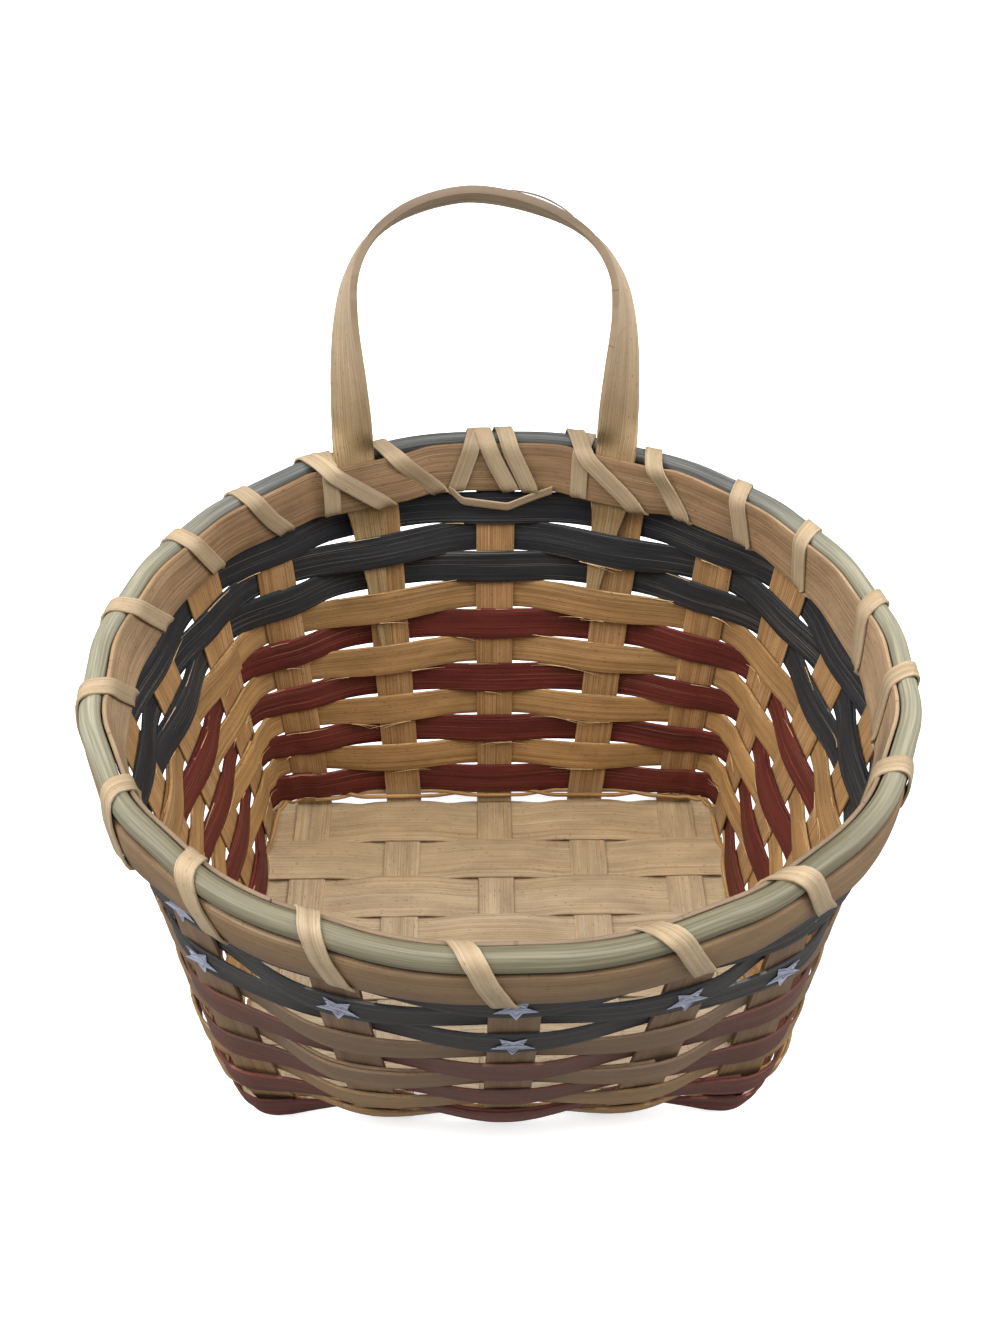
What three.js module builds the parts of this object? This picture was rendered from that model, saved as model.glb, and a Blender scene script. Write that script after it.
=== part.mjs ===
// A hand-woven wall pocket basket: flat reed stakes, a filled base, start-and-stop weaving rows,
// a lashed rim and a hoop handle. Millimetres, +Z up, front at -Y, wall side at +Y.
import * as THREE from 'three';

// Driving dimensions: the base
const STAKE_WIDTH = 12.7;
const STAKE_THICK = 1.2;
const STAKE_SPACING = 33.5;
const STAKE_COUNT = 5;
const BASE_ROW_WIDTH = 15.9;
const BASE_ROW_THICK = 1.2;
const BASE_ROW_GAP = 1.1;
const SIDE_STAKE_COUNT = 4;
const SIDE_MARGIN = 8.2;
const WALL_SET = 2.5;
const FILLER_SETBACK = 1.5;
const FOOT_BEND = 3.5;
const FOOT_STEPS = 3;
const BASE_CENTRE_Y = 10.6;

// Driving dimensions: the woven wall
const TWINE_DIAMETER = 1.6;
const TWINE_SIDES = 6;
const WEAVER_WIDTH = 10.5;
const WEAVER_THICK = 1.0;
const WEAVER_GAP = 0.3;
const PLATEAU_MARGIN = 1.0;
const CLEARANCE = 0.3;
// How far the front stakes bow outwards half way up, from the middle one to the outer ones, how full
// the bow is, and how much more of it lies in the lower half
const FRONT_BOWS = [10.6, 10.4, 7];
const FRONT_BOW_POWER = 3;
const FRONT_BOW_SKEW = 0.57;

// Driving dimensions: the rim, as the oval that the middle of the wall follows at the top
const RIM_HALF_WIDTH = 108;
const RIM_BACK_REACH = 105;
const RIM_FRONT_REACH = 96.8;
const RIM_WIDEST_Y = -4.1;
// Plan angles at the rim: the back stakes and the front stakes from left to right, and the step from
// one upright of a side to the next
const RIM_BACK_ANGLES = [133, 111.5, 90, 65.5, 47.5].map(THREE.MathUtils.degToRad);
const RIM_FRONT_ANGLES = [-142.7, -115.7, -88.7, -61.7, -44.5].map(THREE.MathUtils.degToRad);
const RIM_SIDE_STEP = THREE.MathUtils.degToRad(16.7);
const INNER_RIM_HEIGHT = 16.2;
const INNER_RIM_THICK = 1.2;
const OUTER_RIM_HEIGHT = 12.4;
const OUTER_RIM_THICK = 3.0;
const RIM_FILLER_DIAMETER = 6;
const RIM_FILLER_SIDES = 8;
const STAKE_TOP_DROP = 0.8;

// Driving dimensions: the lashing, with its places given as shares of the space between uprights, but
// as a distance before the stakes that carry the handle
const LASHING_WIDTH = 5;
const LASHING_THICK = 0.7;
const LASHING_CLEARANCE = 0.6;
const LASH_OVER = 0.88;
const LASH_BEFORE_HANDLE = 19.3;
const LASH_OUTSIDE_SLANT = 0.26;
const LASH_TOP_SLANT = 0.05;
const LASH_INSIDE_SPREAD = 1.7;
const LASH_OVER_ANGLES = [20, 85, 150].map(THREE.MathUtils.degToRad);

// Driving dimensions: the handle
const HANDLE_WIDTH = 12.7;
const HANDLE_THICK = 2.2;
const HANDLE_HEIGHT = 82.2;
// The hoop's powers, how round it is across the top and how straight up the sides, and how far its
// peak stands to the side
const HANDLE_TOP_POWER = 1.65;
const HANDLE_SIDE_POWER = 5.8;
const HANDLE_SKEW = -4.2;
const HANDLE_LEAN = THREE.MathUtils.degToRad(4);
const HANDLE_STEPS = 40;
const HOOP_OUTLINE_STEPS = 120;
const HANDLE_RISE = 1;
// Left and right leg: the place beside the stake's middle at the rim and at the tail's tip, and how
// far the tail reaches below the rim
const HANDLE_SHIFTS = [-7.8, -4.7];
const TAIL_TIP_SHIFTS = [-1.6, -6.5];
const TAIL_LENGTHS = [66, 45];
const TAIL_TIP_WIDTH = 5;
const TAIL_TIP_THICK = 0.9;
// Turn of the strip out of the hoop's plane, in the legs and at the top, and the shares of the way
// from the rim to the top where the first turn ends and the second begins
const HANDLE_LEG_TURN = THREE.MathUtils.degToRad(16);
const HANDLE_TOP_TURN = THREE.MathUtils.degToRad(-38);
const HANDLE_LEG_SHARE = 0.55;
const HANDLE_SHOULDER_SHARE = 0.6;

// Weaving rows from the lowest to the highest
const ROW_NAMES = [
  'maroon_row_4', 'natural_row_4', 'maroon_row_3', 'natural_row_3', 'maroon_row_2', 'natural_row_2',
  'maroon_row_1', 'natural_row_1', 'blue_row_3', 'blue_row_2', 'blue_row_1',
];

const FINISHES = {
  natural: { color: 0xb99a70, roughness: 0.72, metalness: 0 },
  base: { color: 0xc0a67e, roughness: 0.74, metalness: 0 },
  maroon: { color: 0x5e2624, roughness: 0.66, metalness: 0 },
  blue: { color: 0x2d3036, roughness: 0.62, metalness: 0 },
  sage: { color: 0x9a9e88, roughness: 0.58, metalness: 0 },
  cane: { color: 0xcdb388, roughness: 0.6, metalness: 0 },
  handle: { color: 0xb59a79, roughness: 0.66, metalness: 0 },
};

// Heights that follow from the driving dimensions
const BASE_MID = BASE_ROW_THICK + CLEARANCE + STAKE_THICK / 2;
const BASE_STEP = STAKE_THICK / 2 + CLEARANCE + BASE_ROW_THICK / 2;
const TWINE_RADIUS = TWINE_DIAMETER / 2;
const TWINE_LIFT = TWINE_RADIUS + CLEARANCE;
const TWINE_Z = BASE_MID + FOOT_BEND + TWINE_RADIUS;
const ROW_PITCH = WEAVER_WIDTH + WEAVER_GAP;
const ROWS_BOTTOM = TWINE_Z + TWINE_LIFT + TWINE_RADIUS + CLEARANCE;
const ROWS_TOP = ROWS_BOTTOM + ROW_NAMES.length * ROW_PITCH - WEAVER_GAP;
const RIM_BOTTOM = ROWS_TOP + CLEARANCE + LASHING_THICK + LASHING_CLEARANCE;
const INNER_RIM_TOP = RIM_BOTTOM + INNER_RIM_HEIGHT;
const OUTER_RIM_TOP = RIM_BOTTOM + OUTER_RIM_HEIGHT;
const STAKE_TOP = OUTER_RIM_TOP - STAKE_TOP_DROP;
const RIM_FILLER_RADIUS = RIM_FILLER_DIAMETER / 2;
const RIM_FILLER_Z = OUTER_RIM_TOP + CLEARANCE + RIM_FILLER_RADIUS;
const HOOP_FOOT = Math.max(INNER_RIM_TOP, RIM_FILLER_Z + RIM_FILLER_RADIUS) + HANDLE_RISE;

// Offsets across the wall at the rim, outwards from the middle of the stakes
const UPRIGHT_THICK = Math.max(STAKE_THICK, BASE_ROW_THICK);
const WEAVE_HALF = UPRIGHT_THICK / 2 + CLEARANCE + WEAVER_THICK;
const INNER_RIM_OUTSIDE = -(WEAVE_HALF + CLEARANCE);
const INNER_RIM_MIDDLE = INNER_RIM_OUTSIDE - INNER_RIM_THICK / 2;
const INNER_RIM_INSIDE = INNER_RIM_OUTSIDE - INNER_RIM_THICK;
const OUTER_RIM_MIDDLE = WEAVE_HALF + CLEARANCE + OUTER_RIM_THICK / 2;
const OUTER_RIM_OUTSIDE = OUTER_RIM_MIDDLE + OUTER_RIM_THICK / 2;
const RIM_FILLER_MIDDLE = INNER_RIM_OUTSIDE + CLEARANCE + RIM_FILLER_RADIUS;
const LEG_MIDDLE = INNER_RIM_OUTSIDE - HANDLE_THICK / 2;
const LEG_BULGE = HANDLE_THICK + CLEARANCE;

// Base plan
const BASE_ROW_COUNT = 2 * SIDE_STAKE_COUNT - 1;
const BASE_ROW_PITCH = BASE_ROW_WIDTH + BASE_ROW_GAP;
const BASE_BACK_Y = BASE_CENTRE_Y + (BASE_ROW_COUNT * BASE_ROW_PITCH) / 2;
const BASE_FRONT_Y = BASE_CENTRE_Y - (BASE_ROW_COUNT * BASE_ROW_PITCH) / 2;
const OUTER_STAKE_X = ((STAKE_COUNT - 1) / 2) * STAKE_SPACING;
const SIDE_WALL_X = OUTER_STAKE_X + STAKE_WIDTH / 2 + SIDE_MARGIN;
const stakeX = (index) => index * STAKE_SPACING - OUTER_STAKE_X;
const baseRowY = (index) => BASE_BACK_Y - (index + 0.5) * BASE_ROW_PITCH;

const vector = (x, y, z) => new THREE.Vector3(x, y, z);
const mix = THREE.MathUtils.lerp;
// Small change of plan angle, in radians, that gives the rim's direction
const TANGENT_STEP = 0.01;

// A point of the rim oval at a plan angle, counted from +X towards the back
function rimPoint(angle) {
  const reach = Math.sin(angle) >= 0 ? RIM_BACK_REACH : RIM_FRONT_REACH;
  const radius = 1 / Math.hypot(Math.cos(angle) / RIM_HALF_WIDTH, Math.sin(angle) / reach);
  return vector(radius * Math.cos(angle), RIM_WIDEST_Y + radius * Math.sin(angle), INNER_RIM_TOP);
}

// An upright: where it leaves the base, where it meets the rim, and which way the rows pass it,
// clockwise seen from above
function makeUpright(foot, footTangent, angle, width, thick, bow = 0) {
  const rimTangent = rimPoint(angle - TANGENT_STEP).sub(rimPoint(angle + TANGENT_STEP)).normalize();
  const reach = width / 2 + PLATEAU_MARGIN;
  const outwardBow = vector(0, -bow, 0);
  const path = { foot, rim: rimPoint(angle), footTangent, rimTangent, outwardBow };
  return { ...path, width, thick, reachBefore: reach, reachAfter: reach };
}

function makeUprights() {
  const middle = (STAKE_COUNT - 1) / 2;
  const stakes = [...Array(STAKE_COUNT).keys()];
  const sides = [...Array(SIDE_STAKE_COUNT).keys()];
  const sideAngle = (index) => RIM_BACK_ANGLES[STAKE_COUNT - 1] - (index + 1) * RIM_SIDE_STEP;
  const back = stakes.map((k) => makeUpright(
    vector(stakeX(k), BASE_BACK_Y + WALL_SET, BASE_MID), vector(1, 0, 0), RIM_BACK_ANGLES[k],
    STAKE_WIDTH, STAKE_THICK));
  const front = stakes.map((k) => makeUpright(
    vector(stakeX(k), BASE_FRONT_Y - WALL_SET, BASE_MID), vector(-1, 0, 0), RIM_FRONT_ANGLES[k],
    STAKE_WIDTH, STAKE_THICK, FRONT_BOWS[Math.abs(k - middle)]));
  const right = sides.map((k) => makeUpright(
    vector(SIDE_WALL_X, baseRowY(2 * k), BASE_ROW_THICK / 2), vector(0, -1, 0), sideAngle(k),
    BASE_ROW_WIDTH, BASE_ROW_THICK));
  const left = sides.map((k) => makeUpright(
    vector(-SIDE_WALL_X, baseRowY(2 * k), BASE_ROW_THICK / 2), vector(0, 1, 0), Math.PI - sideAngle(k),
    BASE_ROW_WIDTH, BASE_ROW_THICK));
  return [...back, ...right, ...front.reverse(), ...left.reverse()];
}

const uprights = makeUprights();
const COUNT = uprights.length;
const HANDLE_UPRIGHTS = [1, STAKE_COUNT - 2];
HANDLE_UPRIGHTS.forEach((index, leg) => {
  const upright = uprights[index];
  const handleReach = HANDLE_WIDTH / 2 + PLATEAU_MARGIN;
  upright.carriesHandle = true;
  upright.legShift = HANDLE_SHIFTS[leg];
  upright.tipShift = TAIL_TIP_SHIFTS[leg];
  upright.tailLength = TAIL_LENGTHS[leg];
  upright.reachBefore = Math.max(upright.reachBefore, handleReach - upright.legShift);
  upright.reachAfter = Math.max(upright.reachAfter, handleReach + upright.legShift);
});
const uprightAt = (index) => uprights[((index % COUNT) + COUNT) % COUNT];
const frontUpright = (stake) => STAKE_COUNT + SIDE_STAKE_COUNT + (STAKE_COUNT - 1 - stake);
const rightUpright = (side) => STAKE_COUNT + side;
const leftUpright = (side) => COUNT - 1 - side;

// The share of a bow, and how fast it grows, at a share of the height
function bowAt(share) {
  const side = 2 * share - 1;
  const fullness = 1 - Math.abs(side) ** FRONT_BOW_POWER;
  const skew = 1 - FRONT_BOW_SKEW * side;
  const fading = 2 * FRONT_BOW_POWER * Math.sign(side) * Math.abs(side) ** (FRONT_BOW_POWER - 1);
  return { bow: fullness * skew, growth: -fading * skew - 2 * FRONT_BOW_SKEW * fullness };
}

// The middle of an upright at a height, with the way along the rows and the way out of the wall;
// beside the rim bands the upright is straight
function wallFrame(index, z) {
  const upright = uprightAt(index);
  const height = upright.rim.z - upright.foot.z;
  const share = (z - upright.foot.z) / height;
  const rimShare = (RIM_BOTTOM - upright.foot.z) / height;
  const belly = bowAt(Math.min(share, rimShare));
  const straight = (1 - Math.max(share, rimShare)) / (1 - rimShare);
  const growth = share < rimShare ? belly.growth : -belly.bow / (1 - rimShare);
  const point = upright.foot.clone().lerp(upright.rim, share)
    .addScaledVector(upright.outwardBow, belly.bow * straight);
  const rise = upright.rim.clone().sub(upright.foot).addScaledVector(upright.outwardBow, growth);
  const along = upright.footTangent.clone().lerp(upright.rimTangent, share).normalize();
  const out = rise.cross(along).normalize();
  return { point, along, out };
}

function besideUpright(index, z, lateral, offset) {
  const { point, along, out } = wallFrame(index, z);
  return point.addScaledVector(along, lateral).addScaledVector(out, offset);
}

// A point in the space after an upright, by share of the curve between the two flat stretches
function betweenUprights(index, z, share, offset) {
  const from = wallFrame(index, z);
  const to = wallFrame(index + 1, z);
  const start = besideUpright(index, z, uprightAt(index).reachAfter, 0);
  const end = besideUpright(index + 1, z, -uprightAt(index + 1).reachBefore, 0);
  const length = start.distanceTo(end);
  const square = share * share;
  const cube = square * share;
  const point = start.multiplyScalar(2 * cube - 3 * square + 1)
    .addScaledVector(from.along, length * (cube - 2 * square + share))
    .addScaledVector(end, 3 * square - 2 * cube)
    .addScaledVector(to.along, length * (cube - square));
  return point.addScaledVector(from.out.lerp(to.out, share).normalize(), offset);
}

// Shares of the space after an upright where its flat stretch ends and the next one begins
function flatShares(index, z) {
  const span = wallFrame(index, z).point.distanceTo(wallFrame(index + 1, z).point);
  const after = uprightAt(index).reachAfter / span;
  const before = 1 - uprightAt(index + 1).reachBefore / span;
  return { span, after, before };
}

// A point anywhere round the wall: the whole part of place counts uprights, the rest the space
function aroundWall(place, z, offset) {
  const index = Math.floor(place);
  const share = place - index;
  const { span, after, before } = flatShares(index, z);
  if (share <= after) return besideUpright(index, z, share * span, offset);
  if (share >= before) return besideUpright(index + 1, z, (share - 1) * span, offset);
  return betweenUprights(index, z, (share - after) / (before - after), offset);
}

// How far the inner rim band stands in over the handle legs, from 0 to 1, by share of the curve
function legBulge(index, share) {
  const here = uprightAt(index).carriesHandle ? 1 - 2 * share : 0;
  const next = uprightAt(index + 1).carriesHandle ? 2 * share - 1 : 0;
  return THREE.MathUtils.clamp(Math.max(here, next), 0, 1);
}

// The sections of a ring stand at both ends of each flat stretch and in the middle of each space
function ring(section) {
  const shares = [0, 0.5, 1];
  const sections = [];
  for (let index = 0; index < COUNT; index += 1) {
    sections.push(...shares.map((share) => section(index, share)));
  }
  return sweep(sections, true);
}

// A closed body through a list of sections with equal numbers of corners
function sweep(sections, closed) {
  const sides = sections[0].length;
  const faces = [];
  const lastSpan = closed ? sections.length : sections.length - 1;
  for (let s = 0; s < lastSpan; s += 1) {
    const near = s * sides;
    const far = ((s + 1) % sections.length) * sides;
    for (let k = 0; k < sides; k += 1) {
      const next = (k + 1) % sides;
      // Both flat sides of a twisted strip are split along the same diagonal
      if (k < sides / 2) faces.push([near + k, near + next, far + next], [near + k, far + next, far + k]);
      else faces.push([near + k, near + next, far + k], [near + next, far + next, far + k]);
    }
  }
  if (!closed) {
    const end = (sections.length - 1) * sides;
    for (let k = 1; k < sides - 1; k += 1) {
      faces.push([0, k + 1, k], [end, end + k, end + k + 1]);
    }
  }
  const points = sections.flat();
  const volume = faces.reduce(
    (sum, [a, b, c]) => sum + points[a].dot(points[b].clone().cross(points[c])), 0);
  const turned = volume < 0 ? faces.map(([a, b, c]) => [a, c, b]) : faces;
  const geometry = new THREE.BufferGeometry().setFromPoints(points);
  geometry.setIndex(turned.flat());
  geometry.computeVertexNormals();
  return geometry;
}

// A flat strip's section: its middle, the way across it and the way through it
function stripSection(middle, across, through, width, thick) {
  return [[-1, -1], [1, -1], [1, 1], [-1, 1]].map(([w, t]) => middle.clone()
    .addScaledVector(across, (w * width) / 2)
    .addScaledVector(through, (t * thick) / 2));
}

const basket = new THREE.Group();

function addPiece(name, geometry, finish) {
  const mesh = new THREE.Mesh(geometry, new THREE.MeshStandardMaterial(FINISHES[finish]));
  mesh.name = name;
  basket.add(mesh);
}

// The wall stretch of a stake, from the foot bend up to its cut top; side is -1 on the way down
function stakeWall(index, side) {
  const upright = uprightAt(index);
  const rowEdges = [...ROW_NAMES.keys(), ROW_NAMES.length].map((row) => ROWS_BOTTOM + row * ROW_PITCH);
  return [upright.foot.z + FOOT_BEND, ...rowEdges, STAKE_TOP].map((z) => {
    const { point, along, out } = wallFrame(index, z);
    return stripSection(point, along.multiplyScalar(side), out, upright.width, upright.thick);
  });
}

// The rounded turn from the base into the wall
function stakeFoot(index, side) {
  const upright = uprightAt(index);
  const inwards = upright.footTangent.clone().cross(vector(0, 0, 1));
  const onBase = upright.foot.clone().addScaledVector(inwards, FOOT_BEND);
  const { point: onWall, along, out } = wallFrame(index, upright.foot.z + FOOT_BEND);
  const bend = new THREE.QuadraticBezierCurve3(onBase, upright.foot, onWall);
  return [...Array(FOOT_STEPS).keys()].map((step) => {
    const share = step / FOOT_STEPS;
    const across = upright.footTangent.clone().lerp(along, share).normalize().multiplyScalar(side);
    const through = vector(0, 0, -1).lerp(out, share).normalize();
    return stripSection(bend.getPoint(share), across, through, upright.width, upright.thick);
  });
}

// A stake runs down one wall, along the base and up the opposite wall
function stake(fromIndex, baseSections, toIndex) {
  const down = [...stakeFoot(fromIndex, -1), ...stakeWall(fromIndex, -1)].reverse();
  const upwards = [...stakeFoot(toIndex, 1), ...stakeWall(toIndex, 1)];
  return sweep([...down, ...baseSections, ...upwards], false);
}

// Sections of a base row over and under the stakes, kept flat from startX to endX
function baseRowSections(row, startX, endX) {
  const y = baseRowY(row);
  const reach = STAKE_WIDTH / 2 + PLATEAU_MARGIN;
  return [...Array(STAKE_COUNT).keys()].flatMap((k) => {
    const over = (row + k) % 2 === 0 ? -1 : 1;
    const z = BASE_MID + over * BASE_STEP;
    const first = k === 0 ? startX : stakeX(k) - reach;
    const last = k === STAKE_COUNT - 1 ? endX : stakeX(k) + reach;
    return [first, last].filter((x) => x !== null).map((x) => stripSection(
      vector(x, y, z), vector(0, -1, 0), vector(0, 0, -1), BASE_ROW_WIDTH, BASE_ROW_THICK));
  });
}

for (let k = 0; k < STAKE_COUNT; k += 1) {
  addPiece(`stake_${k + 1}`, stake(frontUpright(k), [], k), 'natural');
}
for (let k = 0; k < SIDE_STAKE_COUNT; k += 1) {
  const sections = baseRowSections(2 * k, null, null);
  addPiece(`side_stake_${k + 1}`, stake(leftUpright(k), sections, rightUpright(k)), 'base');
}
for (let k = 0; k < SIDE_STAKE_COUNT - 1; k += 1) {
  const end = SIDE_WALL_X - FILLER_SETBACK;
  addPiece(`base_filler_${k + 1}`, sweep(baseRowSections(2 * k + 1, -end, end), false), 'base');
}

// The pair of twining strands: each passes out, over and in, under and out again
function twiningStrand(parity) {
  return ring((index, share) => {
    const side = (index + parity) % 2 === 0 ? 1 : -1;
    const offset = side * (1 - 2 * share) * (UPRIGHT_THICK / 2 + CLEARANCE + TWINE_RADIUS);
    const z = TWINE_Z + side * TWINE_LIFT * (1 - Math.abs(2 * share - 1));
    return [...Array(TWINE_SIDES).keys()].map((k) => {
      const turn = (k / TWINE_SIDES) * 2 * Math.PI;
      const across = offset + TWINE_RADIUS * Math.cos(turn);
      return betweenUprights(index, z + TWINE_RADIUS * Math.sin(turn), share, across);
    });
  });
}

for (const parity of [0, 1]) {
  addPiece(`twining_strand_${parity + 1}`, twiningStrand(parity), 'natural');
}

// A handle tail's tip, and its height share and thickness below the rim
const tailTip = (upright) => RIM_BOTTOM - upright.tailLength;
const tailShare = (upright, z) => THREE.MathUtils.clamp((z - tailTip(upright)) / upright.tailLength, 0, 1);
const tailThick = (upright, z) => mix(TAIL_TIP_THICK, HANDLE_THICK, tailShare(upright, z));

// How far a row's middle lies from the middle of an upright that it passes
function rowOffset(row, index, high) {
  const upright = uprightAt(index);
  const clear = upright.thick / 2 + CLEARANCE;
  const inside = (row + index) % 2 === 0;
  const besideTail = upright.carriesHandle && row < ROW_NAMES.length && high > tailTip(upright);
  const tail = inside && besideTail ? tailThick(upright, high) + CLEARANCE : 0;
  return (inside ? -1 : 1) * (clear + tail + WEAVER_THICK / 2);
}

// A band's section, standing along the wall between two heights
function bandSection(index, share, low, high, offset, thick) {
  return [[low, -1], [low, 1], [high, 1], [high, -1]].map(
    ([z, side]) => betweenUprights(index, z, share, offset + (side * thick) / 2));
}

function weavingRow(row, low) {
  const high = low + WEAVER_WIDTH;
  return ring((index, share) => {
    const here = rowOffset(row, index, high);
    const next = rowOffset(row, (index + 1) % COUNT, high);
    return bandSection(index, share, low, high, mix(here, next, share), WEAVER_THICK);
  });
}

ROW_NAMES.forEach((name, row) => {
  addPiece(name, weavingRow(row, ROWS_BOTTOM + row * ROW_PITCH), name.split('_')[0]);
});
addPiece('rim_row', weavingRow(ROW_NAMES.length, RIM_BOTTOM + CLEARANCE), 'natural');

// The rim bands and the round filler between them
addPiece('inner_rim', ring((index, share) => {
  const middle = INNER_RIM_MIDDLE - LEG_BULGE * legBulge(index, share);
  return bandSection(index, share, RIM_BOTTOM, INNER_RIM_TOP, middle, INNER_RIM_THICK);
}), 'natural');
addPiece('outer_rim', ring((index, share) => bandSection(
  index, share, RIM_BOTTOM, OUTER_RIM_TOP, OUTER_RIM_MIDDLE, OUTER_RIM_THICK)), 'natural');
addPiece('rim_filler', ring((index, share) => [...Array(RIM_FILLER_SIDES).keys()].map((k) => {
  const turn = ((k + 0.5) / RIM_FILLER_SIDES) * 2 * Math.PI;
  const z = RIM_FILLER_Z + RIM_FILLER_RADIUS * Math.sin(turn);
  return betweenUprights(index, z, share, RIM_FILLER_MIDDLE + RIM_FILLER_RADIUS * Math.cos(turn));
})), 'sage');

// The lashing winds up the outside, over the filler, down the inside in a long slant and under
function lashing() {
  const sections = [];
  const overReach = Math.cos((LASH_OVER_ANGLES[1] - LASH_OVER_ANGLES[0]) / 2);
  const halfShare = (place, spread) => {
    const { span } = flatShares(Math.floor(place), RIM_BOTTOM);
    return ((LASHING_WIDTH / 2) * spread) / span;
  };
  const addSection = (place, spread, hull) => {
    const half = halfShare(place, spread);
    const corners = [[1, 0], [-1, 0], [-1, 1], [1, 1]];
    sections.push(corners.map(([side, layer]) => {
      const corner = place + side * half;
      return aroundWall(corner, ...hull(LASHING_CLEARANCE + layer * LASHING_THICK, corner));
    }));
  };
  const innerFace = (place) => {
    const { after, before } = flatShares(Math.floor(place), RIM_BOTTOM);
    const share = THREE.MathUtils.clamp((place - Math.floor(place) - after) / (before - after), 0, 1);
    return INNER_RIM_INSIDE - LEG_BULGE * legBulge(Math.floor(place), share);
  };
  const crossing = (index) => {
    const { span } = flatShares(index, RIM_BOTTOM);
    return uprightAt(index + 1).carriesHandle ? index + 1 - LASH_BEFORE_HANDLE / span : index + LASH_OVER;
  };
  for (let index = 0; index < COUNT; index += 1) {
    const over = crossing(index);
    addSection(over - LASH_OUTSIDE_SLANT, 1, (gap) => [RIM_BOTTOM - gap, OUTER_RIM_OUTSIDE + gap]);
    addSection(over - LASH_TOP_SLANT, 1, (gap) => [OUTER_RIM_TOP, OUTER_RIM_OUTSIDE + gap]);
    for (const angle of LASH_OVER_ANGLES) {
      addSection(over, 1, (gap) => {
        const reach = (RIM_FILLER_RADIUS + gap) / overReach;
        return [RIM_FILLER_Z + reach * Math.sin(angle), RIM_FILLER_MIDDLE + reach * Math.cos(angle)];
      });
    }
    const top = over + LASH_TOP_SLANT;
    const bottom = crossing(index + 1) - LASH_OUTSIDE_SLANT;
    const { after, before } = flatShares(index + 1, RIM_BOTTOM);
    // Both edges of the strip bend where they cross a corner of the inner band
    const bends = [flatShares(index, RIM_BOTTOM).before, 1 + after, 1 + (after + before) / 2];
    const places = bends.map((share) => index + share)
      .flatMap((bend) => [-1, 1].map((side) => bend + side * halfShare(bend, LASH_INSIDE_SPREAD)))
      .filter((place) => place > top && place < bottom)
      .sort((a, b) => a - b);
    addSection(top, 1, (gap, corner) => [INNER_RIM_TOP + gap, innerFace(corner) - gap]);
    for (const place of places) {
      const z = mix(INNER_RIM_TOP, RIM_BOTTOM, (place - top) / (bottom - top));
      addSection(place, LASH_INSIDE_SPREAD, (gap, corner) => [z, innerFace(corner) - gap]);
    }
    addSection(bottom, 1, (gap, corner) => [RIM_BOTTOM - gap, innerFace(corner) - gap]);
  }
  return sweep(sections, true);
}

addPiece('lashing', lashing(), 'cane');

// A handle leg: the tail lies on its stake, under the rows, then comes in between rim row and band
function handleLeg(index, side) {
  const upright = uprightAt(index);
  const tip = tailTip(upright);
  const seated = ROWS_TOP - ROW_PITCH - WEAVER_GAP;
  return [tip, mix(tip, seated, 0.5), seated, RIM_BOTTOM, INNER_RIM_TOP].map((z) => {
    const share = tailShare(upright, z);
    const thick = tailThick(upright, z);
    const offset = z < RIM_BOTTOM ? -(upright.thick / 2 + CLEARANCE + thick / 2) : LEG_MIDDLE;
    const middle = besideUpright(index, z, mix(upright.tipShift, upright.legShift, share), offset);
    const { along, out } = wallFrame(index, z);
    const width = mix(TAIL_TIP_WIDTH, HANDLE_WIDTH, share);
    return stripSection(middle, along.multiplyScalar(side), out, width, thick);
  });
}

// The turn of the handle strip by share of the way up, starting from the turn at the rim
function handleTurn(share, rimTurn) {
  const leg = (1 - Math.min(1, share / HANDLE_LEG_SHARE)) ** 3;
  const top = THREE.MathUtils.smoothstep(share, HANDLE_SHOULDER_SHARE, 1);
  return HANDLE_LEG_TURN + (rimTurn - HANDLE_LEG_TURN) * leg + (HANDLE_TOP_TURN - HANDLE_LEG_TURN) * top;
}

function handleHoop([leftIndex, rightIndex]) {
  const [left, right] = [leftIndex, rightIndex].map(
    (index) => besideUpright(index, HOOP_FOOT, uprightAt(index).legShift, LEG_MIDDLE));
  const centre = left.clone().lerp(right, 0.5);
  const half = right.clone().sub(left).multiplyScalar(0.5);
  const rise = vector(0, Math.sin(HANDLE_LEAN), Math.cos(HANDLE_LEAN)).multiplyScalar(HANDLE_HEIGHT);
  const outline = [...Array(HOOP_OUTLINE_STEPS + 1).keys()].map((k) => {
    const turn = Math.PI * (1 - k / HOOP_OUTLINE_STEPS);
    const across = Math.sign(Math.cos(turn)) * Math.abs(Math.cos(turn)) ** (2 / HANDLE_TOP_POWER);
    const upwards = Math.max(0, Math.sin(turn)) ** (2 / HANDLE_SIDE_POWER);
    const aside = vector(HANDLE_SKEW * upwards * (1 - across * across), 0, 0);
    return centre.clone().addScaledVector(half, across).addScaledVector(rise, upwards).add(aside);
  });
  const curve = new THREE.CatmullRomCurve3(outline);
  const front = half.clone().cross(rise).normalize();
  const leg = wallFrame(leftIndex, HOOP_FOOT);
  const rimTurn = Math.PI / 2 + Math.asin(-leg.out.dot(half.clone().normalize()));
  return [...Array(HANDLE_STEPS + 1).keys()].map((k) => {
    const share = k / HANDLE_STEPS;
    const tangent = curve.getTangentAt(share);
    const outwards = front.clone().cross(tangent).normalize();
    const turn = handleTurn(1 - Math.abs(2 * share - 1), rimTurn);
    const through = outwards.multiplyScalar(-Math.cos(turn)).addScaledVector(front, -Math.sin(turn));
    const across = through.clone().cross(tangent).normalize();
    return stripSection(curve.getPointAt(share), across, through, HANDLE_WIDTH, HANDLE_THICK);
  });
}

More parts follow.
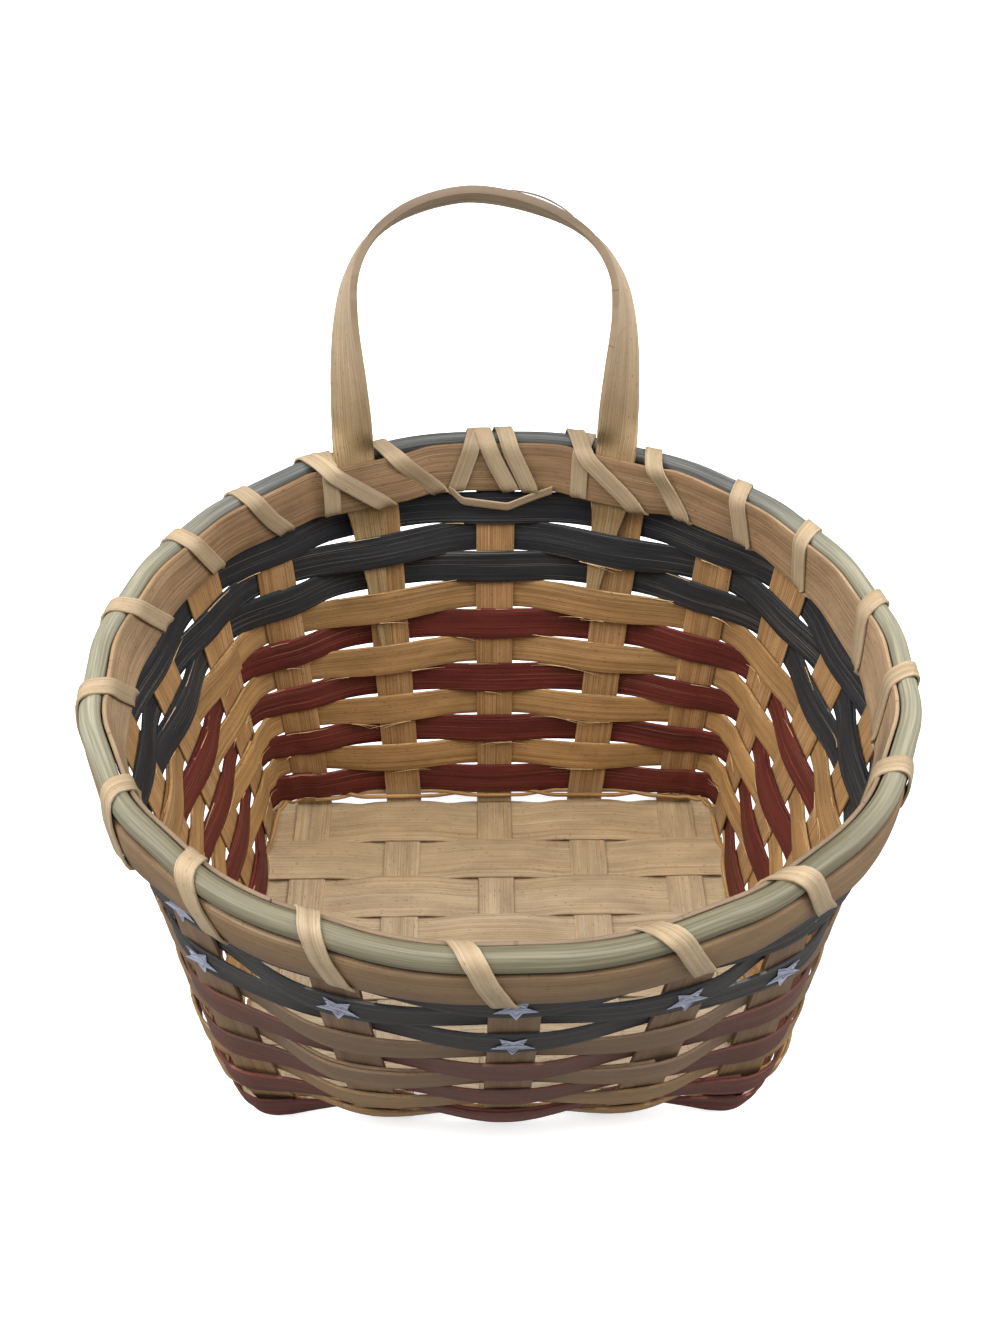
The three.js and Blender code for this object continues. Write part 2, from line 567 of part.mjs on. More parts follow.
addPiece('handle', sweep([
  ...handleLeg(HANDLE_UPRIGHTS[0], 1),
  ...handleHoop(HANDLE_UPRIGHTS),
  ...handleLeg(HANDLE_UPRIGHTS[1], -1).reverse(),
], false), 'handle');

export default basket;
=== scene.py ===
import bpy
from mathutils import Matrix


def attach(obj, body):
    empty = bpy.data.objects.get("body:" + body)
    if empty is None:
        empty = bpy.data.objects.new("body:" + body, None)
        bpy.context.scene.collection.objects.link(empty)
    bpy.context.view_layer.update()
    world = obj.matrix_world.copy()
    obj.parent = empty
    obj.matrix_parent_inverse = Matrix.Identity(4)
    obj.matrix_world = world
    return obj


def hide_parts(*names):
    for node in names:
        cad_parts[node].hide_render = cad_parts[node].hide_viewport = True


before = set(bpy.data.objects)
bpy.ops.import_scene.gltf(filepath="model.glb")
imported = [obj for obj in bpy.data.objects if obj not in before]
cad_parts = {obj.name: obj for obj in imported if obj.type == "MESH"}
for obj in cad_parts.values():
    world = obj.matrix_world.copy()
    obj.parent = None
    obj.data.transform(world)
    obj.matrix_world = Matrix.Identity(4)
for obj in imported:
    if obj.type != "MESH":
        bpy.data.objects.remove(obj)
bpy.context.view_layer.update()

import bisect
import math
import random
from functools import lru_cache

import bpy
from mathutils import Matrix, Vector, noise

MM = 0.001
UP = Vector((0, 0, 1))
DOWN = Vector((0, 0, -1))

# Sizes of the pieces in millimetres, as in the CAD part
STAKE_WIDTH = 12.7
STAKE_THICK = 1.2
STAKE_SPACING = 33.5
STAKE_COUNT = 5
BASE_ROW_WIDTH = 15.9
BASE_ROW_THICK = 0.9
BASE_ROW_PITCH = 17.0
SIDE_STAKE_COUNT = 4
OUTER_STAKE_X = 67.0
SIDE_WALL_X = 81.55
FILLER_END_X = 82.8
BASE_BACK_Y = 70.1
BASE_FRONT_Y = -48.9
WALL_SET = 2.5
FOOT_BEND = 3.5
BASE_MID = 2.1
BASE_STEP = 1.1
CLEARANCE = 0.3
PLATEAU_MARGIN = 1.0
TWINE_RADIUS = 0.8
TWINE_LIFT = 0.5
TWINE_Z = 6.4
WEAVER_WIDTH = 10.5
WEAVER_THICK = 1.0
ROWS_BOTTOM = 8.6
ROW_PITCH = 10.8
FRONT_BOWS = [10.6, 10.4, 7.0]
FRONT_BOW_POWER = 3
FRONT_BOW_SKEW = 0.57
RIM_HALF_WIDTH = 108.0
RIM_BACK_REACH = 105.0
RIM_FRONT_REACH = 96.8
RIM_WIDEST_Y = -4.1
RIM_BACK_ANGLES = [133.0, 111.5, 90.0, 65.5, 47.5]
RIM_FRONT_ANGLES = [-142.7, -115.7, -88.7, -61.7, -44.5]
RIM_SIDE_STEP = 16.7
RIM_BOTTOM = 128.7
INNER_RIM_TOP = 144.9
INNER_RIM_THICK = 1.2
INNER_RIM_MIDDLE = -2.8
INNER_RIM_INSIDE = -3.4
OUTER_RIM_TOP = 141.1
OUTER_RIM_MIDDLE = 3.7
OUTER_RIM_OUTSIDE = 5.2
STAKE_TOP = 140.3
RIM_FILLER_RADIUS = 3.0
RIM_FILLER_Z = 144.4
RIM_FILLER_MIDDLE = 1.1
LEG_BULGE = 2.5
LEG_MIDDLE = -3.3
HOOP_FOOT = 148.4
HANDLE_WIDTH = 12.7
HANDLE_THICK = 2.2
HANDLE_HEIGHT = 82.2
HANDLE_TOP_POWER = 1.65
HANDLE_SIDE_POWER = 5.8
HANDLE_SKEW = -4.2
HANDLE_LEAN = math.radians(4)
HANDLE_SHIFTS = {1: -7.8, 3: -4.7}
# The handle strip's width follows HANDLE_SET at the shoulders; the turns away from it, in degrees, go
# by share of the way from the rim to the top
HANDLE_SET = Vector((0, 0.906, -0.423))
HANDLE_TURNS = [
    (0.07, 74), (0.13, 71), (0.19, 61), (0.25, 54), (0.31, 45), (0.37, 37), (0.43, 29), (0.49, 22),
    (0.55, 13), (0.62, 7), (0.7, -2), (0.76, -6), (0.82, -10), (0.9, -12), (1.0, -13),
]
TAIL_TIPS = {1: 62.7, 3: 83.7}
TAIL_TIP_THICK = 0.9
LASHING_WIDTH = 5.4
LASHING_THICK = 0.7
LASHING_GAP = 0.75

# Weaving rows from the lowest to the highest
ROW_NAMES = [
    "maroon_row_4", "natural_row_4", "maroon_row_3", "natural_row_3", "maroon_row_2", "natural_row_2",
    "maroon_row_1", "natural_row_1", "blue_row_3", "blue_row_2", "blue_row_1",
]
RIM_ROW = len(ROW_NAMES)
TOP_NATURAL_ROW = ROW_NAMES.index("natural_row_1")

# Places round the wall are counted in uprights; the corners of the base are at these
BACK_CORNERS = (4.5, 17.5)
FRONT_CORNERS = (8.5, 13.5)
CORNER_REACH = 0.9
FRONT_MIDDLE = 11
RIM_PROBE = 0.01


def mix(a, b, share):
    return a + (b - a) * share


def ease(share):
    share = min(1.0, max(0.0, share))
    return share * share * (3 - 2 * share)


def drift(distance, size, seed):
    """A slow, smooth wander between -1 and 1 along a piece, never the same for two seeds."""
    return noise.noise(Vector((distance / size, seed * 7.31, seed * 1.77)))


# The wall: uprights clockwise from above, and the curves that the rows follow between them

def rim_point(angle):
    reach = RIM_BACK_REACH if math.sin(angle) >= 0 else RIM_FRONT_REACH
    radius = 1 / math.hypot(math.cos(angle) / RIM_HALF_WIDTH, math.sin(angle) / reach)
    return Vector((radius * math.cos(angle), RIM_WIDEST_Y + radius * math.sin(angle), INNER_RIM_TOP))


def make_upright(foot, foot_way, degrees, width, bow=0.0):
    angle = math.radians(degrees)
    rim_way = (rim_point(angle - RIM_PROBE) - rim_point(angle + RIM_PROBE)).normalized()
    reach = width / 2 + PLATEAU_MARGIN
    return {
        "foot": Vector(foot), "foot_way": Vector(foot_way), "rim": rim_point(angle), "rim_way": rim_way,
        "width": width, "bow": bow, "before": reach, "after": reach, "handle": False,
    }


def base_row_y(row):
    return BASE_BACK_Y - (row + 0.5) * BASE_ROW_PITCH


def stake_x(index):
    return index * STAKE_SPACING - OUTER_STAKE_X


def make_uprights():
    back_y = BASE_BACK_Y + WALL_SET
    front_y = BASE_FRONT_Y - WALL_SET
    side_z = BASE_ROW_THICK / 2
    back, front, right, left = [], [], [], []
    for k in range(STAKE_COUNT):
        bow = FRONT_BOWS[abs(k - STAKE_COUNT // 2)]
        x = stake_x(k)
        back.append(make_upright((x, back_y, BASE_MID), (1, 0, 0), RIM_BACK_ANGLES[k], STAKE_WIDTH))
        front.append(make_upright((x, front_y, BASE_MID), (-1, 0, 0), RIM_FRONT_ANGLES[k], STAKE_WIDTH, bow))
    for k in range(SIDE_STAKE_COUNT):
        angle = RIM_BACK_ANGLES[-1] - (k + 1) * RIM_SIDE_STEP
        y = base_row_y(2 * k)
        right.append(make_upright((SIDE_WALL_X, y, side_z), (0, -1, 0), angle, BASE_ROW_WIDTH))
        left.append(make_upright((-SIDE_WALL_X, y, side_z), (0, 1, 0), 180 - angle, BASE_ROW_WIDTH))
    made = back + right + front[::-1] + left[::-1]
    for index, shift in HANDLE_SHIFTS.items():
        made[index]["before"] = HANDLE_WIDTH / 2 + PLATEAU_MARGIN - shift
        made[index]["handle"] = True
    return made


UPRIGHTS = make_uprights()
COUNT = len(UPRIGHTS)


def upright_at(index):
    return UPRIGHTS[index % COUNT]


def bow_at(share):
    side = 2 * share - 1
    fullness = 1 - abs(side) ** FRONT_BOW_POWER
    skew = 1 - FRONT_BOW_SKEW * side
    fading = 2 * FRONT_BOW_POWER * math.copysign(abs(side) ** (FRONT_BOW_POWER - 1), side)
    return fullness * skew, -fading * skew - 2 * FRONT_BOW_SKEW * fullness


@lru_cache(maxsize=None)
def wall_frame(index, z):
    """The middle of an upright at a height, the way along the rows and the way out of the wall."""
    upright = upright_at(index)
    height = upright["rim"].z - upright["foot"].z
    share = (z - upright["foot"].z) / height
    rim_share = (RIM_BOTTOM - upright["foot"].z) / height
    bow, growth = bow_at(min(share, rim_share))
    straight = (1 - max(share, rim_share)) / (1 - rim_share)
    if share >= rim_share:
        growth = -bow / (1 - rim_share)
    outward = Vector((0, -upright["bow"], 0))
    point = upright["foot"].lerp(upright["rim"], share) + outward * (bow * straight)
    rise = upright["rim"] - upright["foot"] + outward * growth
    along = upright["foot_way"].lerp(upright["rim_way"], share).normalized()
    return point, along, rise.cross(along).normalized()


@lru_cache(maxsize=None)
def wall_space(index, z):
    """The curve from the flat stretch of an upright to that of the next one."""
    here, along, out = wall_frame(index % COUNT, z)
    there, next_along, next_out = wall_frame((index + 1) % COUNT, z)
    start = here + along * upright_at(index)["after"]
    end = there - next_along * upright_at(index + 1)["before"]
    span = (there - here).length
    length = (end - start).length
    after = upright_at(index)["after"] / span
    before = 1 - upright_at(index + 1)["before"] / span
    return span, after, before, start, end, along * length, next_along * length, out, next_out


def around(place, z, offset):
    """A point round the wall: the whole part of place counts uprights, the rest the space after."""
    index = math.floor(place)
    share = place - index
    span, after, before, start, end, way, next_way, out, next_out = wall_space(index % COUNT, z)
    if share <= after:
        point, along, side = wall_frame(index % COUNT, z)
        return point + along * (share * span) + side * offset
    if share >= before:
        point, along, side = wall_frame((index + 1) % COUNT, z)
        return point + along * ((share - 1) * span) + side * offset
    s = (share - after) / (before - after)
    point = (start * (2 * s ** 3 - 3 * s ** 2 + 1) + way * (s ** 3 - 2 * s ** 2 + s)
             + end * (3 * s ** 2 - 2 * s ** 3) + next_way * (s ** 3 - s ** 2))
    return point + out.lerp(next_out, s).normalized() * offset


def between(place, z, here, there):
    """A value that swings over from one upright to the next, held longer beside a handle leg."""
    index = math.floor(place)
    span, after, before = wall_space(index % COUNT, z)[:3]
    usual = (STAKE_WIDTH / 2 + PLATEAU_MARGIN) / span
    low = max(0.0, after - usual)
    high = min(1.0, before + usual)
    return mix(here, there, ease((place - index - low) / (high - low)))


def leg_bulge(place):
    """How far the inner band stands in over the handle legs, from 0 to 1."""
    index = math.floor(place)
    _, after, before = wall_space(index % COUNT, RIM_BOTTOM)[:3]
    share = min(1.0, max(0.0, (place - index - after) / (before - after)))
    here = 1 - 2 * share if upright_at(index)["handle"] else 0.0
    there = 2 * share - 1 if upright_at(index + 1)["handle"] else 0.0
    return ease(max(here, there, 0.0))


def corner_share(place, corners):
    """1 at a corner of the wall, 0 from the next upright but one."""
    gap = min(abs((place - corner + COUNT / 2) % COUNT - COUNT / 2) for corner in corners)
    return ease(1 - gap / CORNER_REACH)


# Colours and materials

RANGE = "ShaderNodeMapRange"
MIXER = "ShaderNodeMix"
SUM = "ShaderNodeMath"

# Marks on reed: length and breadth in millimetres, a shift of their own along it, and noise detail. Real
# fibres are about 0.1 mm across, too fine to show, so they are drawn 0.3 to 0.4 mm
FIBRES = (150, 0.4, 3.1)
BANDS = (260, 1.7, 41.7)
MOTTLING = (24, 7.0, 17.3)
PALE_HAIRS = (90, 0.32, 71.9, 1.0)
CRACKS = (60, 0.33, 97.1, 1.5)
FLECKS = (1.7, 0.6, 131.3, 0.5)
FILLER_RUBBING = (40, 0.7, 5.3)
STAR_WEAR = (12, 0.6, 9.7)
RELIEF_DEPTH = 0.3 * MM

# Depths and heights in metres between which a finish changes over
REAR_SHADE_DEPTHS = (-0.02, 0.06)
# The next two ranges bound the painted shade on the front of the basket: it grows towards the front and fades
# out down to the base
FRONT_SHADE_DEPTHS = (-0.02, -0.056)
FRONT_SHADE_HEIGHTS = (0.004, 0.07)
# Heights over which the painted shade on the top of the handle comes in
HANDLE_TOP_SHADE_HEIGHTS = (0.205, 0.225)
BASE_HEIGHTS = (0.012, 0.004)
ROW_HEIGHTS = (0.108, 0.05)
RIM_HEIGHTS = (0.3, 0.2)
LEG_HEIGHTS = (0.205, 0.14)
# Depths over which the rim filler turns olive and darker towards the front, partly painted shade
FILLER_SHADED_FRONT = (-0.03, -0.075)
FILLER_BACK = (0.035, 0.075)
# Dull grey-brown of the painted shade on the front of the basket
FRONT_SHADE = "#5a4d43"
# Grey-brown of the painted shade on what faces up near the top of the handle
HANDLE_TOP_SHADE = "#5e5044"


def linear(code):
    """An sRGB hex colour as linear RGBA."""
    values = [int(code[k:k + 2], 16) / 255 for k in (1, 3, 5)]
    return tuple(v / 12.92 if v <= 0.04045 else ((v + 0.055) / 1.055) ** 2.4 for v in values) + (1.0,)


def add(tree, kind, sockets=(), **settings):
    """A node with its settings; its sockets, in order or by name, each get a value or a link."""
    made = tree.nodes.new(kind)
    for key, value in settings.items():
        setattr(made, key, value)
    for socket, value in sockets.items() if isinstance(sockets, dict) else enumerate(sockets):
        if isinstance(value, bpy.types.NodeSocket):
            tree.links.new(value, made.inputs[socket])
        else:
            made.inputs[socket].default_value = value
    return made


def new_material(name):
    material = bpy.data.materials.new(name)
    material.use_nodes = True
    material.node_tree.nodes.clear()
    return material, material.node_tree


def streaks(tree, long, fine, shift, detail=3.0):
    """Marks drawn out along the reed: each long and fine in millimetres, as its UV map is."""
    uv = add(tree, "ShaderNodeUVMap", uv_map="UVMap").outputs[0]
    lie = add(tree, "ShaderNodeMapping", {
        "Vector": uv, "Location": (shift, shift * 0.37, 0), "Scale": (1 / long, 1 / fine, 1)}).outputs[0]
    marks = add(tree, "ShaderNodeTexNoise", {
        "Vector": lie, "Scale": 1.0, "Detail": detail, "Roughness": 0.62}, noise_dimensions="2D")
    return marks.outputs["Fac"]


def layered(tree, colour, layers):
    """A colour with others laid over it in turn, each by its share and way of blending."""
    for share, over, way in layers:
        colour = add(tree, MIXER, {0: share, 6: colour, 7: over}, data_type="RGBA", blend_type=way).outputs[2]
    return colour


def reed_material(name, tones, hair, crack, low_tones=None, low_range=BASE_HEIGHTS, hair_share=0.0,
                  rough=(0.55, 0.75), cloud=0.3, front_shade_share=0.0, shade_handle_top=False):
    """Split reed: fibres run its whole length, with broad streaks, pale hairs and dark hairline cracks.
    Tones are dark, body and light; low_tones are those of the part below low_range, with those at the
    back first, where darker ones are painted shade. Two settings paint shade: a share that darkens the
    front of the basket with painted shade, and a switch that darkens what faces up near the top of the
    handle."""
    material, tree = new_material(name)
    fibre = streaks(tree, *FIBRES)
    tones = [linear(tone) for tone in tones]
    where = add(tree, "ShaderNodeTexCoord").outputs["Object"]
    depth, height = add(tree, "ShaderNodeSeparateXYZ", (where,)).outputs[1:3]
    if low_tones:
        low = add(tree, RANGE, (height, *low_range)).outputs[0]
        rear_shade = add(tree, RANGE, (depth, *REAR_SHADE_DEPTHS)).outputs[0]
        lows = [layered(tree, linear(fore), [(rear_shade, linear(back), "MIX")]) for back, fore in zip(*low_tones)]
        tones = [layered(tree, tone, [(low, pale, "MIX")]) for tone, pale in zip(tones, lows)]
    patch = add(tree, RANGE, (streaks(tree, *MOTTLING), 0.25, 0.75, 1 - cloud, 1 + cloud * 0.4)).outputs[0]
    grey = add(tree, "ShaderNodeCombineColor", (patch, patch, patch)).outputs[0]
    body = add(tree, RANGE, (streaks(tree, *BANDS), 0.3, 0.7)).outputs[0]
    light = add(tree, RANGE, (fibre, 0.4, 0.75)).outputs[0]
    hair_low = 0.72 - hair_share
    hair_high = 0.78 - hair_share
    hairs = add(tree, RANGE, (streaks(tree, *PALE_HAIRS), hair_low, hair_high, 0.0, 0.55)).outputs[0]
    splits = add(tree, RANGE, (streaks(tree, *CRACKS), 0.31, 0.24, 0.0, 0.6)).outputs[0]
    flecks = add(tree, RANGE, (streaks(tree, *FLECKS), 0.74, 0.8, 0.0, 0.55)).outputs[0]
    # Painted shade: the front of the basket, above the base, is darkened towards a dull grey-brown
    front = add(tree, RANGE, (depth, *FRONT_SHADE_DEPTHS, 0.0, front_shade_share)).outputs[0]
    raised = add(tree, RANGE, (height, *FRONT_SHADE_HEIGHTS)).outputs[0]
    front_shade_mask = add(tree, SUM, (front, raised), operation="MULTIPLY").outputs[0]
    layers = [
        (body, tones[1], "MIX"), (light, tones[2], "MIX"), (1.0, grey, "MULTIPLY"),
        (hairs, linear(hair), "MIX"), (splits, linear(crack), "MIX"), (flecks, linear(crack), "MIX"),
        (front_shade_mask, linear(FRONT_SHADE), "MIX"),
    ]
    # Painted shade: what faces up near the top of the handle is darkened towards grey-brown
    if shade_handle_top:
        normal = add(tree, "ShaderNodeNewGeometry").outputs["Normal"]
        facing = add(tree, "ShaderNodeSeparateXYZ", (normal,)).outputs[2]
        top = add(tree, RANGE, (height, *HANDLE_TOP_SHADE_HEIGHTS, 0.0, 0.75)).outputs[0]
        upward = add(tree, RANGE, (facing, 0.0, 0.4)).outputs[0]
        top_shade = add(tree, SUM, (top, upward), operation="MULTIPLY").outputs[0]
        layers.append((top_shade, linear(HANDLE_TOP_SHADE), "MIX"))
    colour = layered(tree, tones[0], layers)
    relief = add(tree, "ShaderNodeBump", {
        "Strength": 0.35, "Distance": RELIEF_DEPTH, "Height": fibre}).outputs[0]
    sheen = add(tree, RANGE, (fibre, 0.3, 0.7, *rough)).outputs[0]
    surface = add(tree, "ShaderNodeBsdfPrincipled", {
        "Base Color": colour, "Roughness": sheen, "Normal": relief, "Specular IOR Level": 0.3}).outputs[0]
    add(tree, "ShaderNodeOutputMaterial", (surface,))
    return material


# Golden tones on the walls are painted shade, pale tones on the base painted light, both copies of one reed
# colour; of the two base sets, the first, darker set paints shade on the back of the base
GOLDEN_SHADED_WALL_TONES = ("#8a6238", "#a97f52", "#bf9b6d")
PALE_LIT_BASE_TONES = (("#a1855e", "#ae9570", "#bba584"), ("#b39b78", "#c2af92", "#d1c2aa"))
LOW_ROW_TONES = ("#906839", "#ae8452", "#c39e6b")
RIM_TONES = ("#8a6f4f", "#a4896a", "#b9a182")
# Darker tones that paint shade on the back of the inner rim band
RIM_BACK_SHADE_TONES = ("#785b3d", "#8f7152", "#a28666")
LEG_TONES = ("#83693f", "#9c8058", "#b2986f")

# Each reed material below may darken the front of the basket with painted shade, by the share given for it
# Undyed flat reed, split and dried, matt, with long fibres: golden on the walls as painted shade and pale
# straw on the base as painted light, two copies of one colour
NATURAL = reed_material("undyed_reed", GOLDEN_SHADED_WALL_TONES, "#d2b78e", "#5a3c20", PALE_LIT_BASE_TONES, front_shade_share=0.7)
# The same reed in the weaving rows: a deeper honey near the rim, paler in the lower rows
ROWS = reed_material("undyed_reed_rows", ("#815d34", "#9c764a", "#ae8d61"), "#c8ab7c", "#5a3c20",
                     (LOW_ROW_TONES, LOW_ROW_TONES), ROW_HEIGHTS, front_shade_share=0.72)
# Wide undyed reed of the base: paler, mostly from the painted lit copy on the base, and more even, with small
# dark flecks
BASE = reed_material("undyed_reed_base", GOLDEN_SHADED_WALL_TONES, "#dcc6a2", "#6a4a2c", PALE_LIT_BASE_TONES, cloud=0.22, front_shade_share=0.6)
# Inner rim band: thicker reed, browner at the back than round the sides, which is painted shade
RIM = reed_material("rim_reed", RIM_TONES, "#d2bb97", "#5a3c20", (RIM_BACK_SHADE_TONES, RIM_TONES), RIM_HEIGHTS,
                    front_shade_share=0.62)
# Outer rim band: half-oval reed, tan, darkened at the front by painted shade
OUTER_RIM = reed_material("outer_rim_reed", ("#7e5d3a", "#967449", "#aa895d"), "#c8ab80", "#5a3c20", front_shade_share=0.5)
# Reed dyed maroon: the dye leaves single fibres pale
MAROON = reed_material("maroon_dyed_reed", ("#481510", "#5e211b", "#743429"), "#a9775c", "#2a0d0a",
                       hair_share=0.04, front_shade_share=0.44)
# Reed dyed navy: almost black, with grey hairs where the dye didn't take
BLUE = reed_material("navy_dyed_reed", ("#1d1f22", "#26282b", "#35373a"), "#858077", "#16161a",
                     hair_share=0.055, front_shade_share=0.1)
# Lashing cane: the smooth outer skin of the stem, pale, with a soft shine
CANE = reed_material("lashing_cane", ("#968062", "#a58f70", "#b4a287"), "#c6b394", "#84693f",
                     rough=(0.45, 0.62), cloud=0.2)
# Handle: thick reed, pale on the hoop, browner on the legs, with painted shade on what faces up near the top
HANDLE = reed_material("handle_reed", ("#9a8367", "#b29c81", "#c6b49b"), "#d6c5ab", "#6b4d30",
                       (LEG_TONES, LEG_TONES), LEG_HEIGHTS, cloud=0.2, shade_handle_top=True)
# Single fibres that stand off the rows: light straw
FIBRE = reed_material("loose_fibre", ("#b08a58", "#c8a573", "#d8bc90"), "#e2cca6", "#8a6840")


def filler_material():
    """Round reed painted thinly: sage grey, olive and darker at the front, slate at the back, rubbed in fine
    lines. The front's olive is partly the paint's own tone and partly painted shade.
    """
    material, tree = new_material("painted_round_reed")
    fibre = streaks(tree, *FILLER_RUBBING)
    rubbed = add(tree, RANGE, (fibre, 0.35, 0.7)).outputs[0]
    where = add(tree, "ShaderNodeTexCoord").outputs["Object"]
    depth = add(tree, "ShaderNodeSeparateXYZ", (where,)).outputs[1]
    # Towards the front the filler turns olive and darker: partly the paint's own tone, partly painted shade
    front = add(tree, RANGE, (depth, *FILLER_SHADED_FRONT)).outputs[0]
    back = add(tree, RANGE, (depth, *FILLER_BACK)).outputs[0]
    sage, shaded_olive, slate = [
        layered(tree, linear(dark), [(rubbed, linear(light), "MIX")])
        for dark, light in (("#77735e", "#99947f"), ("#5a543f", "#79725b"), ("#444543", "#6a6a66"))]
    colour = layered(tree, sage, [(front, shaded_olive, "MIX"), (back, slate, "MIX")])
    relief = add(tree, "ShaderNodeBump", {
        "Strength": 0.3, "Distance": RELIEF_DEPTH, "Height": fibre}).outputs[0]
    surface = add(tree, "ShaderNodeBsdfPrincipled", {
        "Base Color": colour, "Roughness": 0.55, "Normal": relief}).outputs[0]
    add(tree, "ShaderNodeOutputMaterial", (surface,))
    return material


def star_material():
    """Thin pale lavender paint, worn through to the navy along the fibres."""
    material, tree = new_material("worn_star_paint")
    wear = add(tree, RANGE, (streaks(tree, *STAR_WEAR), 0.4, 0.62)).outputs[0]
    colour = layered(tree, linear("#5d5f6c"), [(wear, linear("#b4b9cf"), "MIX")])
    surface = add(tree, "ShaderNodeBsdfPrincipled", {"Base Color": colour, "Roughness": 0.7}).outputs[0]
    add(tree, "ShaderNodeOutputMaterial", (surface,))
    return material


SAGE = filler_material()
STAR = star_material()
ROW_MATERIALS = {"natural": ROWS, "maroon": MAROON, "blue": BLUE}


# Modelling by hand steps: a grid laid flat, bent to its path, given thickness, edges eased

EDGE = 0.3
FLAT_ANGLE = math.radians(55)
SMOOTH_ANGLE = math.radians(45)
ROD_SMOOTH_ANGLE = math.radians(50)
WELD = 1e-6
SEED_SHIFT = 613.0
HALF_PROBES = 4


def finish_piece(piece, material, slot, *nodes):
    piece.data.materials.append(material)
    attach(piece, "root")
    if nodes:
        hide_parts(*nodes)


def apply_modifier(piece, kind, **settings):
    made = piece.modifiers.new(kind.lower(), kind)
    for key, value in settings.items():
        setattr(made, key, value)
    bpy.context.view_layer.objects.active = piece
    bpy.ops.object.modifier_apply(modifier=made.name)


def new_piece(name):
    piece = bpy.context.object
    piece.name = name
    piece.data.name = name
    return piece


def bent_grid(name, place, steps, across, seed):
    """A flat grid laid along the piece's path: place takes the share along and the side, -1 to 1."""
    bpy.ops.object.select_all(action="DESELECT")
    bpy.ops.mesh.primitive_grid_add(x_subdivisions=steps, y_subdivisions=across, size=1)
    piece = new_piece(name)
    line = [place(k / steps, 0.0) for k in range(steps + 1)]
    length = sum((b - a).length for a, b in zip(line, line[1:]))
    halves = []
    for k in range(steps + 1):
        half = [place(k / steps, j / HALF_PROBES) for j in range(HALF_PROBES + 1)]
        halves.append(sum((b - a).length for a, b in zip(half, half[1:])))
    for corner in piece.data.uv_layers[0].data:
        half = halves[round(corner.uv.x * steps)]
        corner.uv = (corner.uv.x * length + seed * SEED_SHIFT, (corner.uv.y * 2 - 1) * half)
    for vertex in piece.data.vertices:
        vertex.co = place(vertex.co.x + 0.5, vertex.co.y * 2) * MM
    return piece


def ease_edges(piece, width, segments=2):
    apply_modifier(piece, "BEVEL", width=width * MM, segments=segments, limit_method="ANGLE",
                   angle_limit=FLAT_ANGLE)
    bpy.ops.object.shade_smooth_by_angle(angle=SMOOTH_ANGLE)


def strip(name, place, steps, across, thick, seed, edge=EDGE):
    """A flat strip of reed along a path."""
    piece = bent_grid(name, place, steps, across, seed)
    apply_modifier(piece, "SOLIDIFY", thickness=thick * MM, offset=0.0)
    ease_edges(piece, edge)
    return piece


def rod(name, centre, radius, steps, sides, seed):
    """A round rod along a path: the grid is rolled up and its seam closed."""
    def place(u, v):
        point, out, up = centre(u)
        turn = math.pi * v
        return point + (out * math.cos(turn) + up * math.sin(turn)) * radius(u)
    piece = bent_grid(name, place, steps, sides, seed)
    bpy.ops.object.mode_set(mode="EDIT")
    bpy.ops.mesh.select_all(action="SELECT")
    bpy.ops.mesh.remove_doubles(threshold=WELD)
    bpy.ops.mesh.fill_holes(sides=sides + 2)
    bpy.ops.mesh.select_all(action="SELECT")
    bpy.ops.mesh.normals_make_consistent(inside=False)
    bpy.ops.object.mode_set(mode="OBJECT")
    bpy.ops.object.shade_smooth_by_angle(angle=ROD_SMOOTH_ANGLE)
    return piece


def way_lengths(points):
    """The length of the way reached at each point."""
    reached = [0.0]
    for a, b in zip(points, points[1:]):
        reached.append(reached[-1] + (b - a).length)
    return reached


def leg_of(reached, distance):
    """Which stretch of a way a distance falls in, and its share of that stretch."""
    k = min(len(reached) - 2, max(0, bisect.bisect_right(reached, distance) - 1))
    return k, (distance - reached[k]) / max(1e-9, reached[k + 1] - reached[k])


def rail(stops):
    """A smooth path through stops of (point, way across, way through, width), by share of its length."""
    reached = way_lengths([stop[0] for stop in stops])

    def at(u):
        distance = u * reached[-1]
        k, s = leg_of(reached, distance)
        p0, p1, p2, p3 = (stops[min(len(stops) - 1, max(0, k + j))][0] for j in (-1, 0, 1, 2))
        point = 0.5 * (2 * p1 + (p2 - p0) * s + (2 * p0 - 5 * p1 + 4 * p2 - p3) * s ** 2
                       + (3 * p1 - p0 - 3 * p2 + p3) * s ** 3)
        a, b = stops[k], stops[k + 1]
        across = a[1].lerp(b[1], s).normalized()
        through = a[2].lerp(b[2], s).normalized()
        return point, across, through, mix(a[3], b[3], s), distance
    return at, reached[-1]


def reed_along(at, seed, wander=0.35, cup=0.1):
    """Lays a reed along a rail, with the small wander and cupping of split reed."""
    def place(u, v):
        point, across, through, width, distance = at(u)
        slow = 0.025 * drift(distance, 35, seed + 0.3)
        fine = 0.012 * drift(distance, 5, seed + v)
        half = width / 2 * (1 + slow + fine)
        side = v * half + wander * drift(distance, 60, seed)
        return point + across * side + through * (cup * (v * v - 0.4) + 0.05 * drift(distance, 18, seed + v))
    return place


# Stakes: down one wall, across the base, up the other

WALL_STEPS = 24
FOOT_STEPS = 6
STAKE_STEP = 2.5
FILLER_STEP = 2.0
BASE_ROW_LAID = 16.8
BACK_ROW_WIDER = 1.8
OVER_WIDER = 0.6
UNDER_WIDER = 3.8
BASE_RUN = OUTER_STAKE_X + 8
